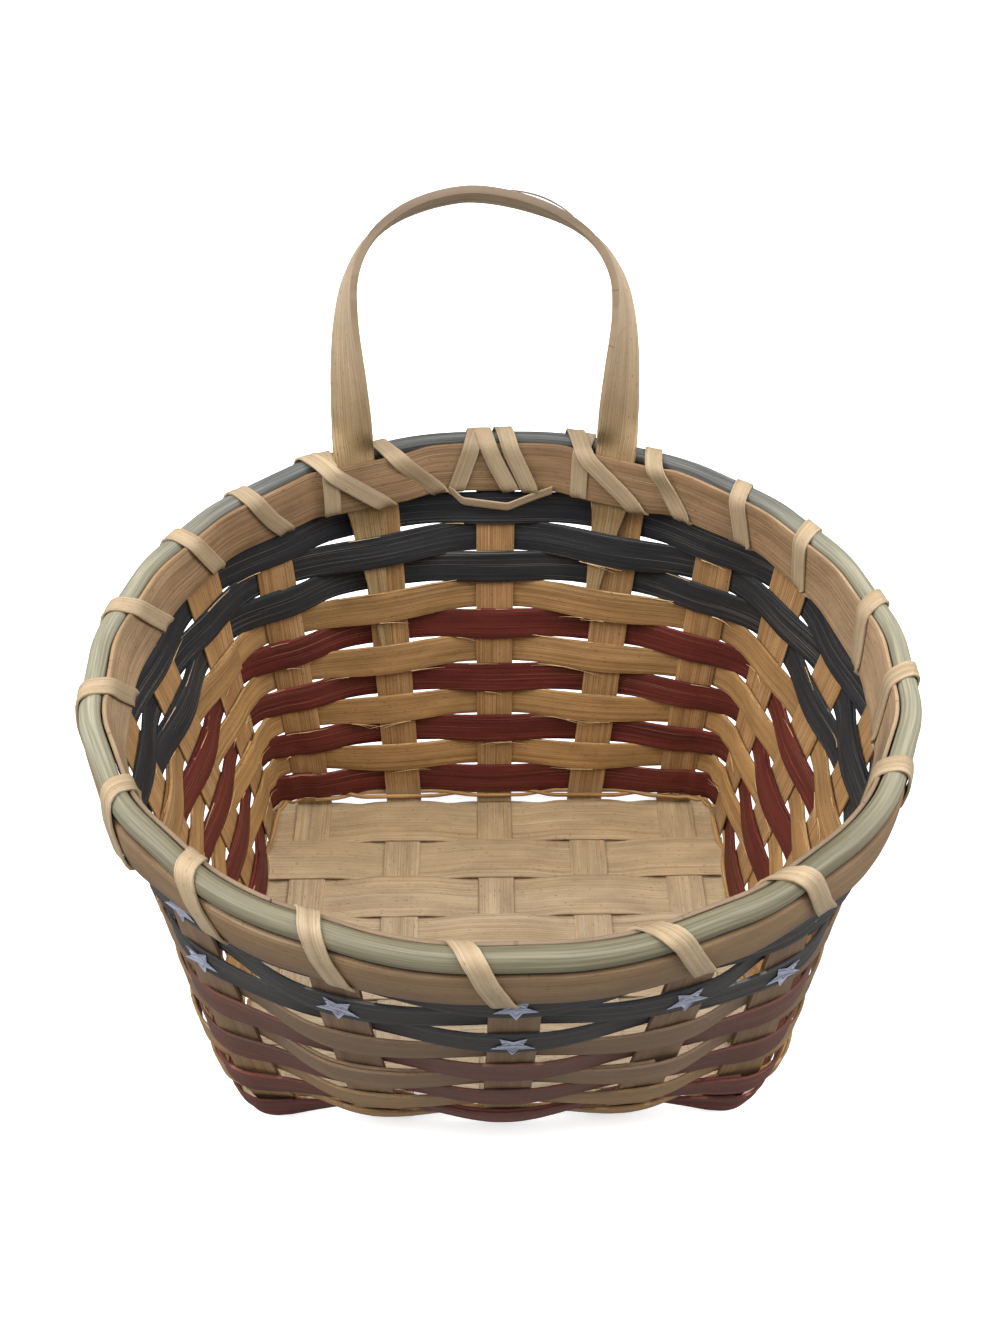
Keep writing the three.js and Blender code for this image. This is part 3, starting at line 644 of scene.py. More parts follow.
# How much wider than on the wall the side stakes still are where they leave the base, and how far the
# back one lies towards its corners
FOOT_WIDER = {5: 6.5, 6: 4.7, 7: 4.7, 8: 4.7, 14: 4.7, 15: 4.7, 16: 4.7, 17: 6.5}
FOOT_BACK = {5: 0.9, 17: 0.9}
# The side stakes at the back corners are trimmed on that edge, by this at the foot and less further up,
# so that the rows bend round them; 1 and -1 say which way along the rows is away from the corner
CORNER_TRIM = 3.4
TRIM_END_Z = 105.0
TRIMMED = {5: 1, 17: -1}


def wall_stops(index, side):
    upright = upright_at(index)
    low = upright["foot"].z + FOOT_BEND
    stops = []
    for k in range(WALL_STEPS + 1):
        z = mix(low, STAKE_TOP, k / WALL_STEPS)
        point, along, out = wall_frame(index, z)
        trim = CORNER_TRIM * max(0.0, 1 - z / TRIM_END_Z) if index in TRIMMED else 0.0
        aside = along * (TRIMMED.get(index, 0) * trim / 2)
        stops.append((point + aside, along * side, out, upright["width"] - trim))
    return stops


def foot_stops(index, side):
    upright = upright_at(index)
    inwards = upright["foot_way"].cross(UP)
    on_base = upright["foot"] + inwards * FOOT_BEND
    on_wall, along, out = wall_frame(index, upright["foot"].z + FOOT_BEND)
    stops = []
    for k in range(FOOT_STEPS):
        s = k / FOOT_STEPS
        point = on_base * (1 - s) ** 2 + upright["foot"] * (2 * s * (1 - s)) + on_wall * s ** 2
        across = upright["foot_way"].lerp(along, s).normalized() * side
        spare = 1 - ease(s)
        point += Vector((0, FOOT_BACK.get(index, 0.0) * spare, 0))
        width = upright["width"] + FOOT_WIDER.get(index, 0.0) * spare
        stops.append((point, across, DOWN.lerp(out, s).normalized(), width))
    return stops


def base_stops(row, end_x):
    back = BACK_ROW_WIDER if row == 0 else 0.0
    stops = []
    count = round(2 * end_x / STAKE_STEP)
    reach = STAKE_WIDTH / 2 + PLATEAU_MARGIN
    for step in range(count + 1):
        x = mix(-end_x, end_x, step / count)
        k = min(STAKE_COUNT - 2, max(0, math.floor((x + OUTER_STAKE_X) / STAKE_SPACING)))
        level = -1 if (row + k) % 2 == 0 else 1
        share = (x - stake_x(k) - reach) / (STAKE_SPACING - 2 * reach)
        swing = mix(level, -level, ease(share))
        point = Vector((x, base_row_y(row) + back / 2, BASE_MID + BASE_STEP * swing))
        width = BASE_ROW_LAID + back + (OVER_WIDER * swing if swing > 0 else -UNDER_WIDER * swing)
        stops.append((point, Vector((0, -1, 0)), DOWN, width))
    return stops


def stake_stops(from_index, middle, to_index):
    down = (foot_stops(from_index, -1) + wall_stops(from_index, -1))[::-1]
    return down + middle + foot_stops(to_index, 1) + wall_stops(to_index, 1)


for k in range(STAKE_COUNT):
    seed = 11 + k
    at, length = rail(stake_stops(13 - k, [], k))
    piece = strip(f"reed_stake_{k + 1}", reed_along(at, seed), round(length / STAKE_STEP), 6,
                  STAKE_THICK, seed)
    finish_piece(piece, NATURAL, "natural", f"stake_{k + 1}")

for k in range(SIDE_STAKE_COUNT):
    seed = 21 + k
    at, length = rail(stake_stops(17 - k, base_stops(2 * k, BASE_RUN), 5 + k))
    piece = strip(f"reed_side_stake_{k + 1}", reed_along(at, seed, 0.25), round(length / STAKE_STEP), 8,
                  BASE_ROW_THICK, seed)
    finish_piece(piece, BASE, "base", f"side_stake_{k + 1}")

for k in range(SIDE_STAKE_COUNT - 1):
    seed = 31 + k
    at, length = rail(base_stops(2 * k + 1, FILLER_END_X))
    piece = strip(f"reed_base_filler_{k + 1}", reed_along(at, seed, 0.25), round(length / FILLER_STEP), 8,
                  BASE_ROW_THICK, seed)
    finish_piece(piece, BASE, "base", f"base_filler_{k + 1}")


# Twining: two thin strands that cross between the uprights at the foot of the wall

TWINE_RUN = COUNT * 0.9985
TWINE_STEPS = 420
TWINE_SIDES = 8
TWINE_OUTSIDE = 0.3
TWINE_CORNER_SET = 1.2
TWINE_SOFT = 0.06
CORNER_SOFT = 0.36
ALL_CORNERS = BACK_CORNERS + FRONT_CORNERS


def twining_path(parity):
    def strand(place):
        index = math.floor(place)
        _, after, before = wall_space(index % COUNT, TWINE_Z)[:3]
        share = min(1.0, max(0.0, (place - index - after) / (before - after)))
        side = 1 if (index + parity) % 2 == 0 else -1
        swing = side * math.cos(math.pi * share)
        rise = side * TWINE_LIFT * math.sin(math.pi * share)
        stand_off = TWINE_RADIUS * (1.0 if swing < 0 else TWINE_OUTSIDE)
        offset = swing * (STAKE_THICK / 2 + CLEARANCE + stand_off)
        offset -= TWINE_CORNER_SET * corner_share(place, ALL_CORNERS)
        return around(place, TWINE_Z, offset) + UP * rise

    def centre(u):
        place = u * TWINE_RUN
        soft = mix(TWINE_SOFT, CORNER_SOFT, corner_share(place, ALL_CORNERS))
        point = (strand(place - soft) + strand(place) * 2 + strand(place + soft)) / 4
        return point, wall_frame(math.floor(place) % COUNT, TWINE_Z)[2], UP
    return centre


def twine_radius(u):
    return TWINE_RADIUS * (1 + 0.12 * drift(u * 600, 9, 41))


for parity in (0, 1):
    piece = rod(f"twined_strand_{parity + 1}", twining_path(parity), twine_radius, TWINE_STEPS, TWINE_SIDES,
                41 + parity)
    finish_piece(piece, ROWS, "natural", f"twining_strand_{parity + 1}")


# Weaving rows: each a strip whose two ends overlap past three uprights

OVERLAP = 3
ROW_NARROW = 10.5
ROW_WIDE = 11.9
ROW_ROOM = 0.4
ROW_SPACE = 33.0
ROW_SOFT = 0.2
ROW_EDGE_STEPS = 3
FULL_SIDE = 1.65
FRONT_HALF = 2.8
FRONT_FADE = 0.8
BLUE_NARROWER = 1.5
OTHER_NARROWER = 0.7
END_RUN = 0.8
END_GAP = 0.05
BACK_CORNER_PUSH = 1.7
FRONT_CORNER_PUSH = 2.2
LOWEST_ROW_DROP = 3.2
SHOWN_END_RUN = 0.2
ROW_STEPS = 20
RIM_ROW_STEPS = 16


def tail_thick(index, z):
    tip = TAIL_TIPS[index]
    return mix(TAIL_TIP_THICK, HANDLE_THICK, min(1.0, max(0.0, (z - tip) / (RIM_BOTTOM - tip))))


def row_side(row, index, high):
    """Where a row's middle lies as it passes an upright: negative inside, positive outside."""
    inside = (row + index) % 2 == 0
    reach = STAKE_THICK / 2 + CLEARANCE + WEAVER_THICK / 2 + ROW_ROOM
    if inside and upright_at(index)["handle"] and row < RIM_ROW and high > TAIL_TIPS[index % COUNT]:
        reach += tail_thick(index % COUNT, high)
    return -reach if inside else reach


def front_share(place):
    """1 along the front wall, where the rows are drawn tighter, 0 round the other sides."""
    return ease((FRONT_HALF - abs(place % COUNT - FRONT_MIDDLE)) / FRONT_FADE)


def row_place(row, low, start, run, seed, end_shown=False):
    """start is an upright that the row passes on the outside; run is how many uprights it reaches past,
    and end_shown lays its far end on the inside."""
    high = low + WEAVER_WIDTH
    middle = (low + high) / 2
    narrower = BLUE_NARROWER if row > TOP_NATURAL_ROW else OTHER_NARROWER
    back_push = BACK_CORNER_PUSH * (1 - row / RIM_ROW)
    front_push = FRONT_CORNER_PUSH * max(0.0, 1 - row / TOP_NATURAL_ROW)
    front_soft = mix(ROW_SOFT, CORNER_SOFT, min(1.0, row / TOP_NATURAL_ROW))

    def path(where, v):
        index = math.floor(where)
        side = between(where, middle, row_side(row, index, high), row_side(row, index + 1, high))
        outside = 0.5 + 0.5 * max(-1.0, min(1.0, side / FULL_SIDE))
        level = round(v * ROW_EDGE_STEPS) / ROW_EDGE_STEPS
        z = middle + level * (ROW_NARROW - narrower * front_share(where)) / 2
        first = 1 - ease((where - start - OVERLAP) / END_RUN)
        last = ease((where - start - COUNT + END_RUN) / END_RUN)
        outer, inner = (first, last) if end_shown else (last, first)
        side += (outer * outside - inner * (1 - outside)) * (WEAVER_THICK + END_GAP)
        side += back_push * outside * corner_share(where, BACK_CORNERS)
        side += front_push * outside * corner_share(where, FRONT_CORNERS)
        distance = where * ROW_SPACE
        side += 0.08 * (v * v - 0.4) + 0.05 * drift(distance, 14, seed + v)
        tilt = 0.18 * drift(distance, 30, seed + 5) + 0.1 * drift(distance, 6, seed + 9 + v)
        lift = 0.3 * drift(distance, 70, seed) + v * tilt
        lift += level * (ROW_WIDE - ROW_NARROW) / 2 * (2 * outside - 1) ** 2
        if row == 0:
            lift += min(0.0, level) * LOWEST_ROW_DROP * outside
        return around(where, z, side) + UP * lift

    def place(u, v):
        where = start + u * run
        soft = max(mix(ROW_SOFT, CORNER_SOFT, corner_share(where, BACK_CORNERS)),
                   mix(ROW_SOFT, front_soft, corner_share(where, FRONT_CORNERS)))
        return (path(where - soft, v) + path(where, v) * 2 + path(where + soft, v)) / 4
    return place


ROW_STARTS = [15, 6, 9, 14, 5, 10, 15, 14, 15, 6, 7]
ROW_PATHS = []
for row, name in enumerate(ROW_NAMES):
    slot = name.split("_")[0]
    start = ROW_STARTS[row]
    end_shown = name == "natural_row_1"
    run = COUNT + OVERLAP + (SHOWN_END_RUN if end_shown else 0.0)
    place = row_place(row, ROWS_BOTTOM + row * ROW_PITCH, start, run, 51 + row * 1.3, end_shown)
    ROW_PATHS.append((place, start, run))
    piece = strip(f"reed_{name}", place, (COUNT + OVERLAP) * ROW_STEPS, 6, WEAVER_THICK, 51 + row)
    finish_piece(piece, ROW_MATERIALS[slot], slot, name)

place = row_place(RIM_ROW, RIM_BOTTOM + CLEARANCE, 4, COUNT + OVERLAP, 71.0)
piece = strip("reed_rim_row", place, (COUNT + OVERLAP) * RIM_ROW_STEPS, 6, WEAVER_THICK, 71)
finish_piece(piece, NATURAL, "natural", "rim_row")


# Loose fibres and splinters that stand off the edges of the rows

FIBRE_THICK = 0.17
SPLINTER_THICK = 0.3
FIBRE_TAPER = 0.7
FIBRE_EDGE = 0.96
FIBRE_STEPS = 10
FIBRE_SIDES = 4
FIBRE_UPRIGHTS = range(14, 27)


def fibre_path(row, begin, reach, edge, lift):
    place, start, run = ROW_PATHS[row]

    def centre(u):
        where = begin + reach * u
        out = wall_frame(round(where) % COUNT, ROWS_BOTTOM + row * ROW_PITCH)[2]
        point = place(((where - start) % COUNT) / run, edge * FIBRE_EDGE)
        off = lift * u * u
        return point - out * (WEAVER_THICK / 2 + off) + UP * (edge * off * FIBRE_TAPER), out, UP
    return centre


def loose_fibres(name, rows, count, splinters, seed):
    chance = random.Random(seed)
    fibres = [(row, begin, reach, 1, 1.0, SPLINTER_THICK) for row, begin, reach in splinters]
    for _ in range(count):
        row = chance.choice(rows)
        index = chance.choice([k for k in FIBRE_UPRIGHTS if (row + k) % 2 == 0])
        begin = index + chance.uniform(-0.5, 0.2)
        reach = chance.choice((-1, 1)) * chance.uniform(0.1, 0.4)
        fibres.append((row, begin, reach, chance.choice((-1, 1)), chance.uniform(0.3, 1.6), FIBRE_THICK))
    made = []
    for number, (row, begin, reach, edge, lift, thick) in enumerate(fibres):
        made.append(rod(f"{name}_{number}", fibre_path(row, begin, reach, edge, lift),
                        lambda u: thick * (1 - FIBRE_TAPER * u), FIBRE_STEPS, FIBRE_SIDES, seed + number))
    bpy.ops.object.select_all(action="DESELECT")
    for piece in made:
        piece.select_set(True)
    bpy.context.view_layer.objects.active = made[0]
    bpy.ops.object.join()
    finish_piece(new_piece(name), FIBRE, "natural")


loose_fibres("loose_fibres_natural", [1, 3, 5, 7], 80, [(7, 1.15, 0.5), (7, 3.3, 0.35), (5, 2.7, -0.4)], 301)
loose_fibres("loose_fibres_dyed", [0, 2, 4, 6, 8, 9, 10], 60, [], 302)


# Rim: inner band, outer band and the round filler on top, each a closed round with a joint

BAND_RUN = COUNT * 0.9995
BAND_SPACE = 35.0
BAND_STEPS = COUNT * 22
BAND_ACROSS = 8
INNER_JOINT = 12.3
INNER_EDGE = 0.35
INNER_BULGE = -0.1
OUTER_JOINT = 8.06
OUTER_LAID_MIDDLE = OUTER_RIM_MIDDLE - 0.4
OUTER_LAID_THICK = 2.2
OUTER_EDGE = 0.8
OUTER_BULGE = 0.8
FILLER_JOINT = 2.55
FILLER_RUN = COUNT * 1.001
FILLER_STEPS = COUNT * 20
FILLER_SIDES = 18


def band_place(start, low, high, offset_at, bulge, seed):
    def place(u, v):
        where = start + u * BAND_RUN
        distance = where * BAND_SPACE
        z = mix(low, high, (round(v * BAND_ACROSS) / BAND_ACROSS + 1) / 2)
        offset = offset_at(where) + bulge * (1 - v * v) + 0.1 * drift(distance, 25, seed + v)
        return around(where, z, offset) + UP * (0.25 * drift(distance, 60, seed))
    return place


def inner_middle(where):
    return INNER_RIM_MIDDLE - LEG_BULGE * leg_bulge(where)


def outer_middle(where):
    return OUTER_LAID_MIDDLE


place = band_place(INNER_JOINT, RIM_BOTTOM, INNER_RIM_TOP, inner_middle, INNER_BULGE, 81)
piece = strip("reed_inner_rim", place, BAND_STEPS, BAND_ACROSS, INNER_RIM_THICK, 81, INNER_EDGE)
finish_piece(piece, RIM, "natural", "inner_rim")
place = band_place(OUTER_JOINT, RIM_BOTTOM, OUTER_RIM_TOP, outer_middle, OUTER_BULGE, 82)
piece = strip("reed_outer_rim", place, BAND_STEPS, BAND_ACROSS, OUTER_LAID_THICK, 82, OUTER_EDGE)
finish_piece(piece, OUTER_RIM, "natural", "outer_rim")


def way_out(place, z):
    return around(place, z, 1) - around(place, z, 0)


def filler_path(u):
    place = FILLER_JOINT + u * FILLER_RUN
    return around(place, RIM_FILLER_Z, RIM_FILLER_MIDDLE), way_out(place, RIM_FILLER_Z).normalized(), UP


def filler_radius(u):
    return RIM_FILLER_RADIUS * (0.96 + 0.05 * drift(u * 660, 22, 83))


piece = rod("round_rim_filler", filler_path, filler_radius, FILLER_STEPS, FILLER_SIDES, 83)
finish_piece(piece, SAGE, "sage", "rim_filler")


# Lashing: one cane that climbs the outer band, crosses the filler and slants down the inner band

WRAP_STEPS = 45
WRAP_TOP = 0.44
WRAP_SLANT = 1.15
WRAP_TAPER = 0.05
WRAP_TIP = 1.0
WRAP_PASSES = 2
LASHING_STEP = 1.6
LASHING_EDGE = 0.2
# Each wrap as in the photo: the place of its foot outside, its crossing of the top and its foot inside,
# and how far it lies over the strand before it
WRAPS = [
    (0.50, 0.58, 0.56, 0.0), (0.36, 0.46, 1.12, 0.8), (0.95, 1.04, 1.60, 0.0),
    (1.76, 1.85, 1.63, 0.0), (1.80, 1.89, 2.15, 0.4), (1.97, 2.06, 2.30, 0.8),
    (2.58, 2.65, 2.66, 0.0), (2.45, 2.56, 3.27, 0.8), (3.08, 3.19, 3.71, 0.0),
    (4.00, 4.15, 4.38, 0.0), (4.85, 5.02, 5.26, 0.0), (5.95, 6.13, 6.50, 0.0),
    (6.86, 7.07, 7.42, 0.0), (8.00, 8.15, 8.37, 0.0), (8.85, 9.25, 9.78, 0.0),
    (9.97, 10.28, 10.66, 0.0), (11.02, 11.25, 11.62, 0.0), (11.84, 12.04, 12.40, 0.0),
    (12.55, 12.74, 13.10, 0.0), (13.38, 13.60, 13.98, 0.0), (14.52, 14.76, 15.26, 0.0),
    (15.60, 15.83, 16.28, 0.0), (16.70, 16.90, 17.22, 0.0), (17.60, 17.77, 18.18, 0.0),
]


def rim_hull(place, share, gap):
    """Height and offset on the wrapped outline of the rim: 0 under the outer band, 1 under the inner."""
    inner = INNER_RIM_INSIDE - LEG_BULGE * leg_bulge(place) - gap
    corners = [
        (0.0, RIM_BOTTOM + 0.4, 1.5), (0.05, RIM_BOTTOM - gap, OUTER_RIM_OUTSIDE - 1.2),
        (0.09, RIM_BOTTOM + 1.5, OUTER_RIM_OUTSIDE + gap),
        (0.26, OUTER_RIM_TOP - 1.0, OUTER_RIM_OUTSIDE + gap - 0.2),
        (0.36, RIM_FILLER_Z + 2.4, RIM_FILLER_MIDDLE + 2.9),
        (WRAP_TOP, RIM_FILLER_Z + RIM_FILLER_RADIUS + gap, RIM_FILLER_MIDDLE),
        (0.54, INNER_RIM_TOP + gap, inner + 1.0), (0.58, INNER_RIM_TOP - 1.0, inner),
        (0.93, RIM_BOTTOM + 0.8, inner), (0.96, RIM_BOTTOM - gap, inner + 1.2),
        (1.0, RIM_BOTTOM + 0.4, -1.4),
    ]
    for a, b in zip(corners, corners[1:]):
        if share <= b[0]:
            s = (share - a[0]) / (b[0] - a[0])
            return mix(a[1], b[1], s), mix(a[2], b[2], s)
    return corners[-1][1:]


def lashing_stops():
    points, outs, widths = [], [], []
    for came, over, under, layer in WRAPS:
        for step in range(WRAP_STEPS + 1):
            share = step / WRAP_STEPS
            if share < WRAP_TOP:
                place = mix(came, over, share / WRAP_TOP)
            else:
                place = mix(over, under, ((share - WRAP_TOP) / (1 - WRAP_TOP)) ** WRAP_SLANT)
            z, offset = rim_hull(place, share, LASHING_GAP + layer)
            points.append(around(place, z, offset))
            outs.append(way_out(place, RIM_BOTTOM))
            widths.append(mix(WRAP_TIP, LASHING_WIDTH, ease(min(share, 1 - share) / WRAP_TAPER)))
    for _ in range(WRAP_PASSES):
        softened = [(a + b * 2 + c) / 4 for a, b, c in zip(points, points[1:], points[2:])]
        points = [points[0], *softened, points[-1]]
    last = len(points) - 1
    stops = []
    for k, (point, out, width) in enumerate(zip(points, outs, widths)):
        way = (points[min(last, k + 1)] - points[max(0, k - 1)]).normalized()
        along = Vector((-out.y, out.x, 0)).normalized()
        across = (along - way * along.dot(way)).normalized()
        stops.append((point, across, way.cross(across).normalized(), width))
    return stops


at, length = rail(lashing_stops())
place = reed_along(at, 91, 0.2, 0.05)
piece = strip("cane_lashing", place, round(length / LASHING_STEP), 4, LASHING_THICK, 91, LASHING_EDGE)
finish_piece(piece, CANE, "cane", "lashing")

LOOSE_END_STEPS = 30
LOOSE_END_PLACES = (1.60, 2.44)
LOOSE_END_WIDTH = 2.9
LOOSE_END_SAG = 6.0


def loose_end_stops():
    """The end of the cane: it hangs out below the inner band and is tucked up again."""
    stops = []
    for step in range(LOOSE_END_STEPS + 1):
        share = step / LOOSE_END_STEPS
        place = mix(*LOOSE_END_PLACES, share)
        sag = min(ease(share / 0.16) * 0.55 + share * 0.75, (1 - share) * 2.4, 1.0)
        z = RIM_BOTTOM + 1.0 - LOOSE_END_SAG * sag
        inner = INNER_RIM_INSIDE - LEG_BULGE * leg_bulge(place) - 0.6 - 0.8 * sag
        stops.append((around(place, z, inner), UP, way_out(place, z).normalized(), LOOSE_END_WIDTH))
    return stops


at, length = rail(loose_end_stops())
piece = strip("cane_loose_end", reed_along(at, 93, 0.2, 0.05), 40, 4, LASHING_THICK, 93, LASHING_EDGE)
finish_piece(piece, CANE, "cane")


# Handle: tapered tails behind the rows, a strip that turns edge-on at the shoulders

LEG_STEPS = 24
LEG_CROSSING = 8
OUTLINE_STEPS = 240
HOOP_STEPS = 60
HANDLE_STEP = 2.0
HANDLE_EDGE = 0.5
# Height, sideways place on the stake and width of each tail, from its tip up to the rim
TAILS = {
    1: [(62.7, -1.6, 2.2), (90, -2.8, 5.0), (110, -3.9, 8.5), (125, -4.9, 11.6), (129, -5.5, 12.7),
        (145, -7.8, 12.7)],
    3: [(83.7, -7.5, 2.4), (105, -6.4, 6.4), (118, -5.2, 9.0), (125, -4.7, 11.0), (129, -4.6, 12.7),
        (145, -4.7, 12.7)],
}


def handle_leg_stops(index, side):
    stops = []
    for k in range(LEG_STEPS + 1):
        z = mix(TAILS[index][0][0], INNER_RIM_TOP, k / LEG_STEPS)
        for (a, left, narrow), (b, right, wide) in zip(TAILS[index], TAILS[index][1:]):
            if z <= b:
                break
        share = (z - a) / (b - a)
        on_stake = -(STAKE_THICK / 2 + CLEARANCE + tail_thick(index, z) / 2)
        point, along, out = wall_frame(index, z)
        offset = mix(on_stake, LEG_MIDDLE, ease((z - RIM_BOTTOM + LEG_CROSSING) / LEG_CROSSING))
        middle = point + along * mix(left, right, share) + out * offset
        stops.append((middle, along * side, out * -1, mix(narrow, wide, share)))
    return stops


def handle_turn(share, rim_turn):
    known = [(0.0, rim_turn)] + HANDLE_TURNS
    for (a, turn), (b, next_turn) in zip(known, known[1:]):
        if share <= b:
            return math.radians(mix(turn, next_turn, (share - a) / (b - a)))
    return math.radians(known[-1][1])


def hoop_outline():
    feet = []
    for index, shift in HANDLE_SHIFTS.items():
        point, along, out = wall_frame(index, HOOP_FOOT)
        feet.append(point + along * shift + out * LEG_MIDDLE)
    centre = (feet[0] + feet[1]) / 2
    half = (feet[1] - feet[0]) / 2
    rise = Vector((0, math.sin(HANDLE_LEAN), math.cos(HANDLE_LEAN))) * HANDLE_HEIGHT
    outline = []
    for k in range(OUTLINE_STEPS + 1):
        turn = math.pi * (1 - k / OUTLINE_STEPS)
        across = math.copysign(abs(math.cos(turn)) ** (2 / HANDLE_TOP_POWER), math.cos(turn))
        up = max(0.0, math.sin(turn)) ** (2 / HANDLE_SIDE_POWER)
        aside = Vector((HANDLE_SKEW * up * (1 - across * across), 0, 0))
        outline.append(centre + half * across + rise * up + aside)
    return outline


def handle_hoop_stops():
    outline = hoop_outline()
    reached = way_lengths(outline)
    stops = []
    for k in range(HOOP_STEPS + 1):
        share = k / HOOP_STEPS
        j, s = leg_of(reached, share * reached[-1])
        point = outline[j].lerp(outline[j + 1], min(1.0, s))
        tangent = (outline[min(OUTLINE_STEPS, j + 3)] - outline[max(0, j - 2)]).normalized()
        level = (HANDLE_SET - tangent * HANDLE_SET.dot(tangent)).normalized()
        side = tangent.cross(level)
        rim_way = -wall_frame(1, HOOP_FOOT)[1] if share < 0.5 else wall_frame(3, HOOP_FOOT)[1]
        rim_turn = math.degrees(math.atan2(rim_way.dot(side), rim_way.dot(level)))
        turn = handle_turn(1 - abs(2 * share - 1), rim_turn)
        across = level * math.cos(turn) + side * math.sin(turn)
        stops.append((point, across, tangent.cross(across).normalized(), HANDLE_WIDTH))
    return stops


at, length = rail(handle_leg_stops(1, -1) + handle_hoop_stops() + handle_leg_stops(3, 1)[::-1])
place = reed_along(at, 95, 0.2, 0.12)
piece = bent_grid("handle_reed_hoop", place, round(length / HANDLE_STEP), 10, 95)
thin = piece.vertex_groups.new(name="thickness")
for vertex in piece.data.vertices:
    leg = 1 if vertex.co.x < 0 else 3
    thin.add([vertex.index], tail_thick(leg, vertex.co.z / MM) / HANDLE_THICK, "REPLACE")
apply_modifier(piece, "SOLIDIFY", thickness=HANDLE_THICK * MM, offset=0.0, vertex_group="thickness")
ease_edges(piece, HANDLE_EDGE, 3)
finish_piece(piece, HANDLE, "handle", "handle")

SPLINTER_SHARES = (0.548, 0.598)
SPLINTER_HALF = 0.6
SPLINTER_RISE = 0.7
SPLINTER_SET = 0.8


def splinter_place(u, v):
    """A sliver lifted off the upper edge of the arch, right of its peak."""
    point, across, through, width, _ = at(mix(*SPLINTER_SHARES, u))
    rise = HANDLE_THICK / 2 + 0.1 + SPLINTER_RISE * math.sin(math.pi * u)
    half = v * SPLINTER_HALF * math.sin(math.pi * mix(0.05, 0.95, u))
    return point + across * (half - width / 2 + SPLINTER_SET) + through * rise


piece = strip("handle_splinter", splinter_place, 14, 2, 0.35, 96, 0.08)
finish_piece(piece, HANDLE, "handle")


# Painted stars on the outside of the blue rows, where they pass the front uprights

STAR_SIZE = 5.8
STAR_WAIST = STAR_SIZE * 0.46
STAR_POINTS = 5
STAR_LIFT = 0.08
STAR_THICK = 0.06
STARS = [(9, 10), (9, 8), (10, 9), (11, 10), (11, 8), (12, 9), (13, 10), (13, 8)]


def star(name, index, row, turn):
    high = ROWS_BOTTOM + row * ROW_PITCH + WEAVER_WIDTH
    middle = high - WEAVER_WIDTH / 2
    point, along, out = wall_frame(index, middle)
    up = out.cross(along)
    offset = row_side(row, index, high) + WEAVER_THICK / 2 + STAR_LIFT
    bpy.ops.object.select_all(action="DESELECT")
    bpy.ops.mesh.primitive_circle_add(vertices=2 * STAR_POINTS, radius=1, fill_type="TRIFAN", calc_uvs=True)
    piece = new_piece(name)
    for vertex in piece.data.vertices:
        flat = vertex.co.copy()
        if flat.length > 0.5:
            angle = math.atan2(flat.x, flat.y)
            tip = round(angle / (math.pi / STAR_POINTS)) % 2 == 0
            reach = STAR_SIZE if tip else STAR_WAIST
            flat = Vector((math.sin(angle + turn), math.cos(angle + turn), 0)) * reach
        vertex.co = (point - along * flat.x + up * flat.y + out * offset) * MM
    for corner in piece.data.uv_layers[0].data:
        corner.uv = (corner.uv.x * STAR_SIZE * 2 + index * 31.0, corner.uv.y * STAR_SIZE * 2 + row * 17.0)
    apply_modifier(piece, "SOLIDIFY", thickness=STAR_THICK * MM, offset=0.0)
    finish_piece(piece, STAR, "blue")


for number, (index, row) in enumerate(STARS):
    star(f"painted_star_{number + 1}", index, row, 0.12 * drift(number * 9, 5, 3))


# Stage: pale floor, soft overhead light, camera

WHITE = (1, 1, 1, 1)
FLOOR_SIZE = 6
FLOOR_DROP = -0.0002

bpy.ops.object.select_all(action="DESELECT")
bpy.ops.mesh.primitive_plane_add(size=FLOOR_SIZE, location=(0, 0, FLOOR_DROP))
floor = new_piece("floor")
# White paper: the camera sees it almost white, and it throws back a plain grey
material, tree = new_material("white_paper_floor")
seen = add(tree, "ShaderNodeLightPath").outputs["Is Camera Ray"]
paper = layered(tree, linear("#9a9894"), [(seen, linear("#f6f5f3"), "MIX")])
lit = add(tree, "ShaderNodeBsdfDiffuse", {"Color": paper}).outputs[0]
strength = add(tree, RANGE, (seen, 0.0, 1.0, 0.0, 0.5)).outputs[0]
glow = add(tree, "ShaderNodeEmission", {"Color": WHITE, "Strength": strength}).outputs[0]
both = add(tree, "ShaderNodeAddShader", (lit, glow)).outputs[0]
add(tree, "ShaderNodeOutputMaterial", (both,))
floor.data.materials.append(material)

world = bpy.data.worlds.new("studio")
bpy.context.scene.world = world
world.use_nodes = True
tree = world.node_tree
tree.nodes.clear()
seen = add(tree, "ShaderNodeLightPath").outputs["Is Camera Ray"]
way = add(tree, "ShaderNodeTexCoord").outputs["Generated"]
aside, _, upward = add(tree, "ShaderNodeSeparateXYZ", (way,)).outputs
overhead = add(tree, RANGE, (upward, 0.0, 1.0, 0.22, 0.8)).outputs[0]
sides = add(tree, SUM, (aside, aside), operation="MULTIPLY").outputs[0]
dome = add(tree, SUM, (sides, 0.5, overhead), operation="MULTIPLY_ADD").outputs[0]
level = add(tree, MIXER, {0: seen, 2: dome, 3: 1.0}).outputs[0]
tint = layered(tree, linear("#e6edf7"), [(seen, WHITE, "MIX")])
sky = add(tree, "ShaderNodeBackground", {"Color": tint, "Strength": level}).outputs[0]
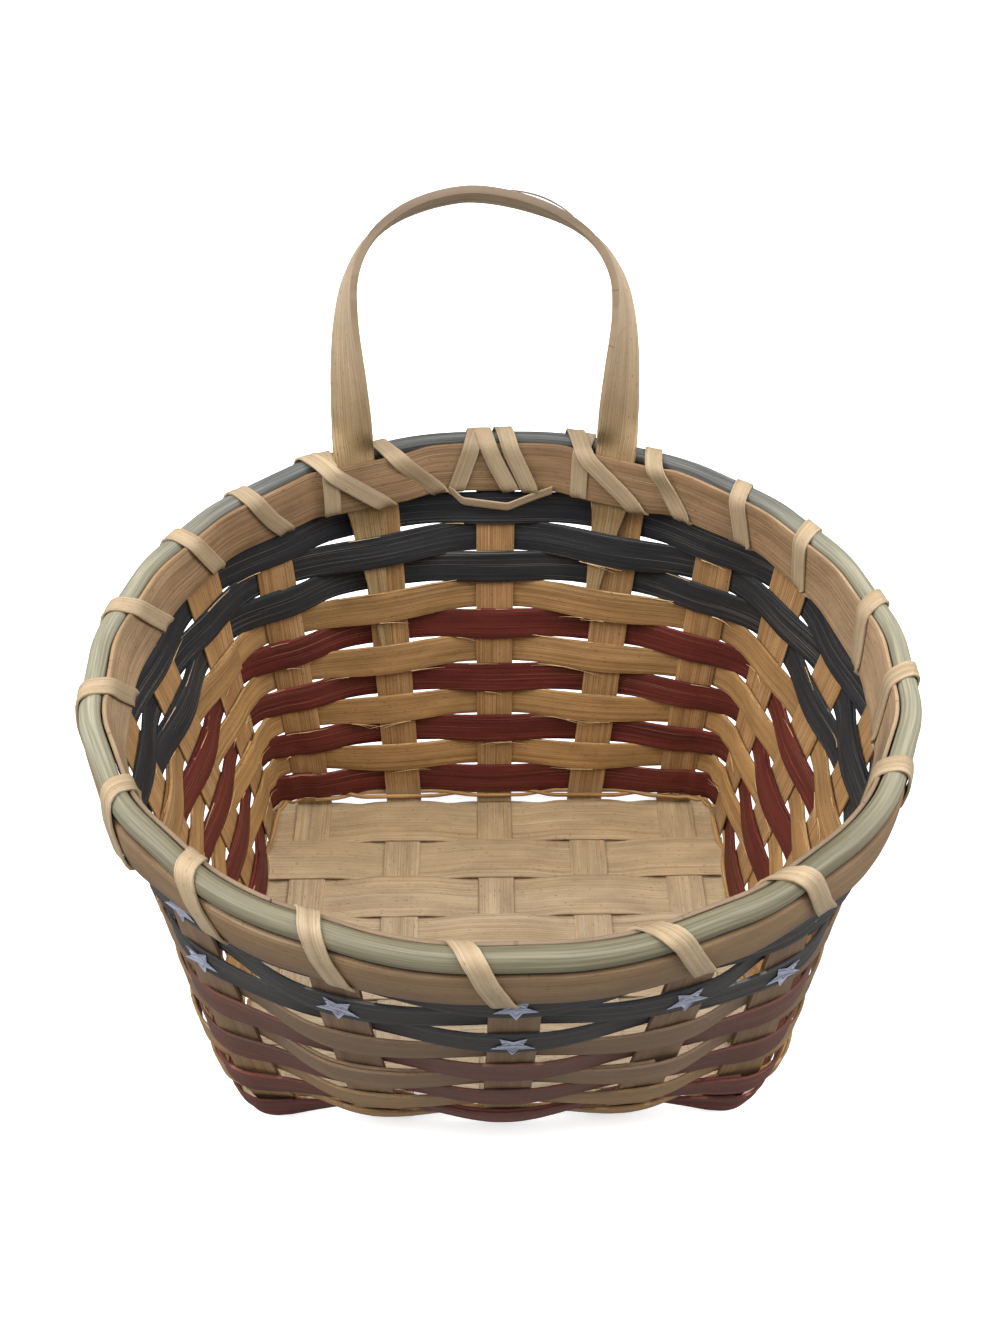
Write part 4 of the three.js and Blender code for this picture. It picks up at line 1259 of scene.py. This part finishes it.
add(tree, "ShaderNodeOutputWorld", {"Surface": sky})


def soft_light(name, place, target, size, power, colour):
    bpy.ops.object.select_all(action="DESELECT")
    bpy.ops.object.light_add(type="AREA", location=place)
    light = bpy.context.object
    light.name = name
    light.data.shape = "DISK"
    light.data.size = size
    light.data.energy = power
    light.data.color = linear(colour)[:3]
    light.rotation_euler = (Vector(target) - Vector(place)).to_track_quat("-Z", "Y").to_euler()


soft_light("overhead", (-0.05, -0.4, 1.45), (0, 0, 0.08), 1.2, 14.5, "#fffcf8")
soft_light("left_side", (-1.05, -0.15, 1.15), (0, 0, 0.1), 1.0, 19, "#fffdfa")
soft_light("right_side", (1.05, -0.15, 1.15), (0, 0, 0.1), 1.0, 17, "#fffdfa")

CAMERA_PLACE = Vector((-7.7315, -300.21, 418.563))
CAMERA_PITCH = math.radians(42.972)
CAMERA_YAW = math.radians(-1.4365)
CAMERA_ROLL = math.radians(0.5863)
FOCAL_PIXELS = 1487.48
PICTURE_WIDTH = 1000
SENSOR_WIDTH = 36
NEAREST = 0.01

turn = Matrix.Rotation(CAMERA_YAW, 3, "Z")
forward = turn @ Vector((0, math.cos(CAMERA_PITCH), -math.sin(CAMERA_PITCH)))
level_up = turn @ Vector((0, math.sin(CAMERA_PITCH), math.cos(CAMERA_PITCH)))
level_right = turn @ Vector((1, 0, 0))
right = level_right * math.cos(CAMERA_ROLL) + level_up * math.sin(CAMERA_ROLL)
up = level_up * math.cos(CAMERA_ROLL) - level_right * math.sin(CAMERA_ROLL)
facing = Matrix((right, up, -forward)).transposed().to_4x4()
bpy.ops.object.camera_add()
camera = bpy.context.object
camera.name = "photo_camera"
camera.matrix_world = Matrix.Translation(CAMERA_PLACE * MM) @ facing
camera.data.sensor_width = SENSOR_WIDTH
camera.data.sensor_fit = "HORIZONTAL"
camera.data.lens = SENSOR_WIDTH * FOCAL_PIXELS / PICTURE_WIDTH
camera.data.clip_start = NEAREST
bpy.context.scene.camera = camera
bpy.context.scene.view_settings.view_transform = "Standard"
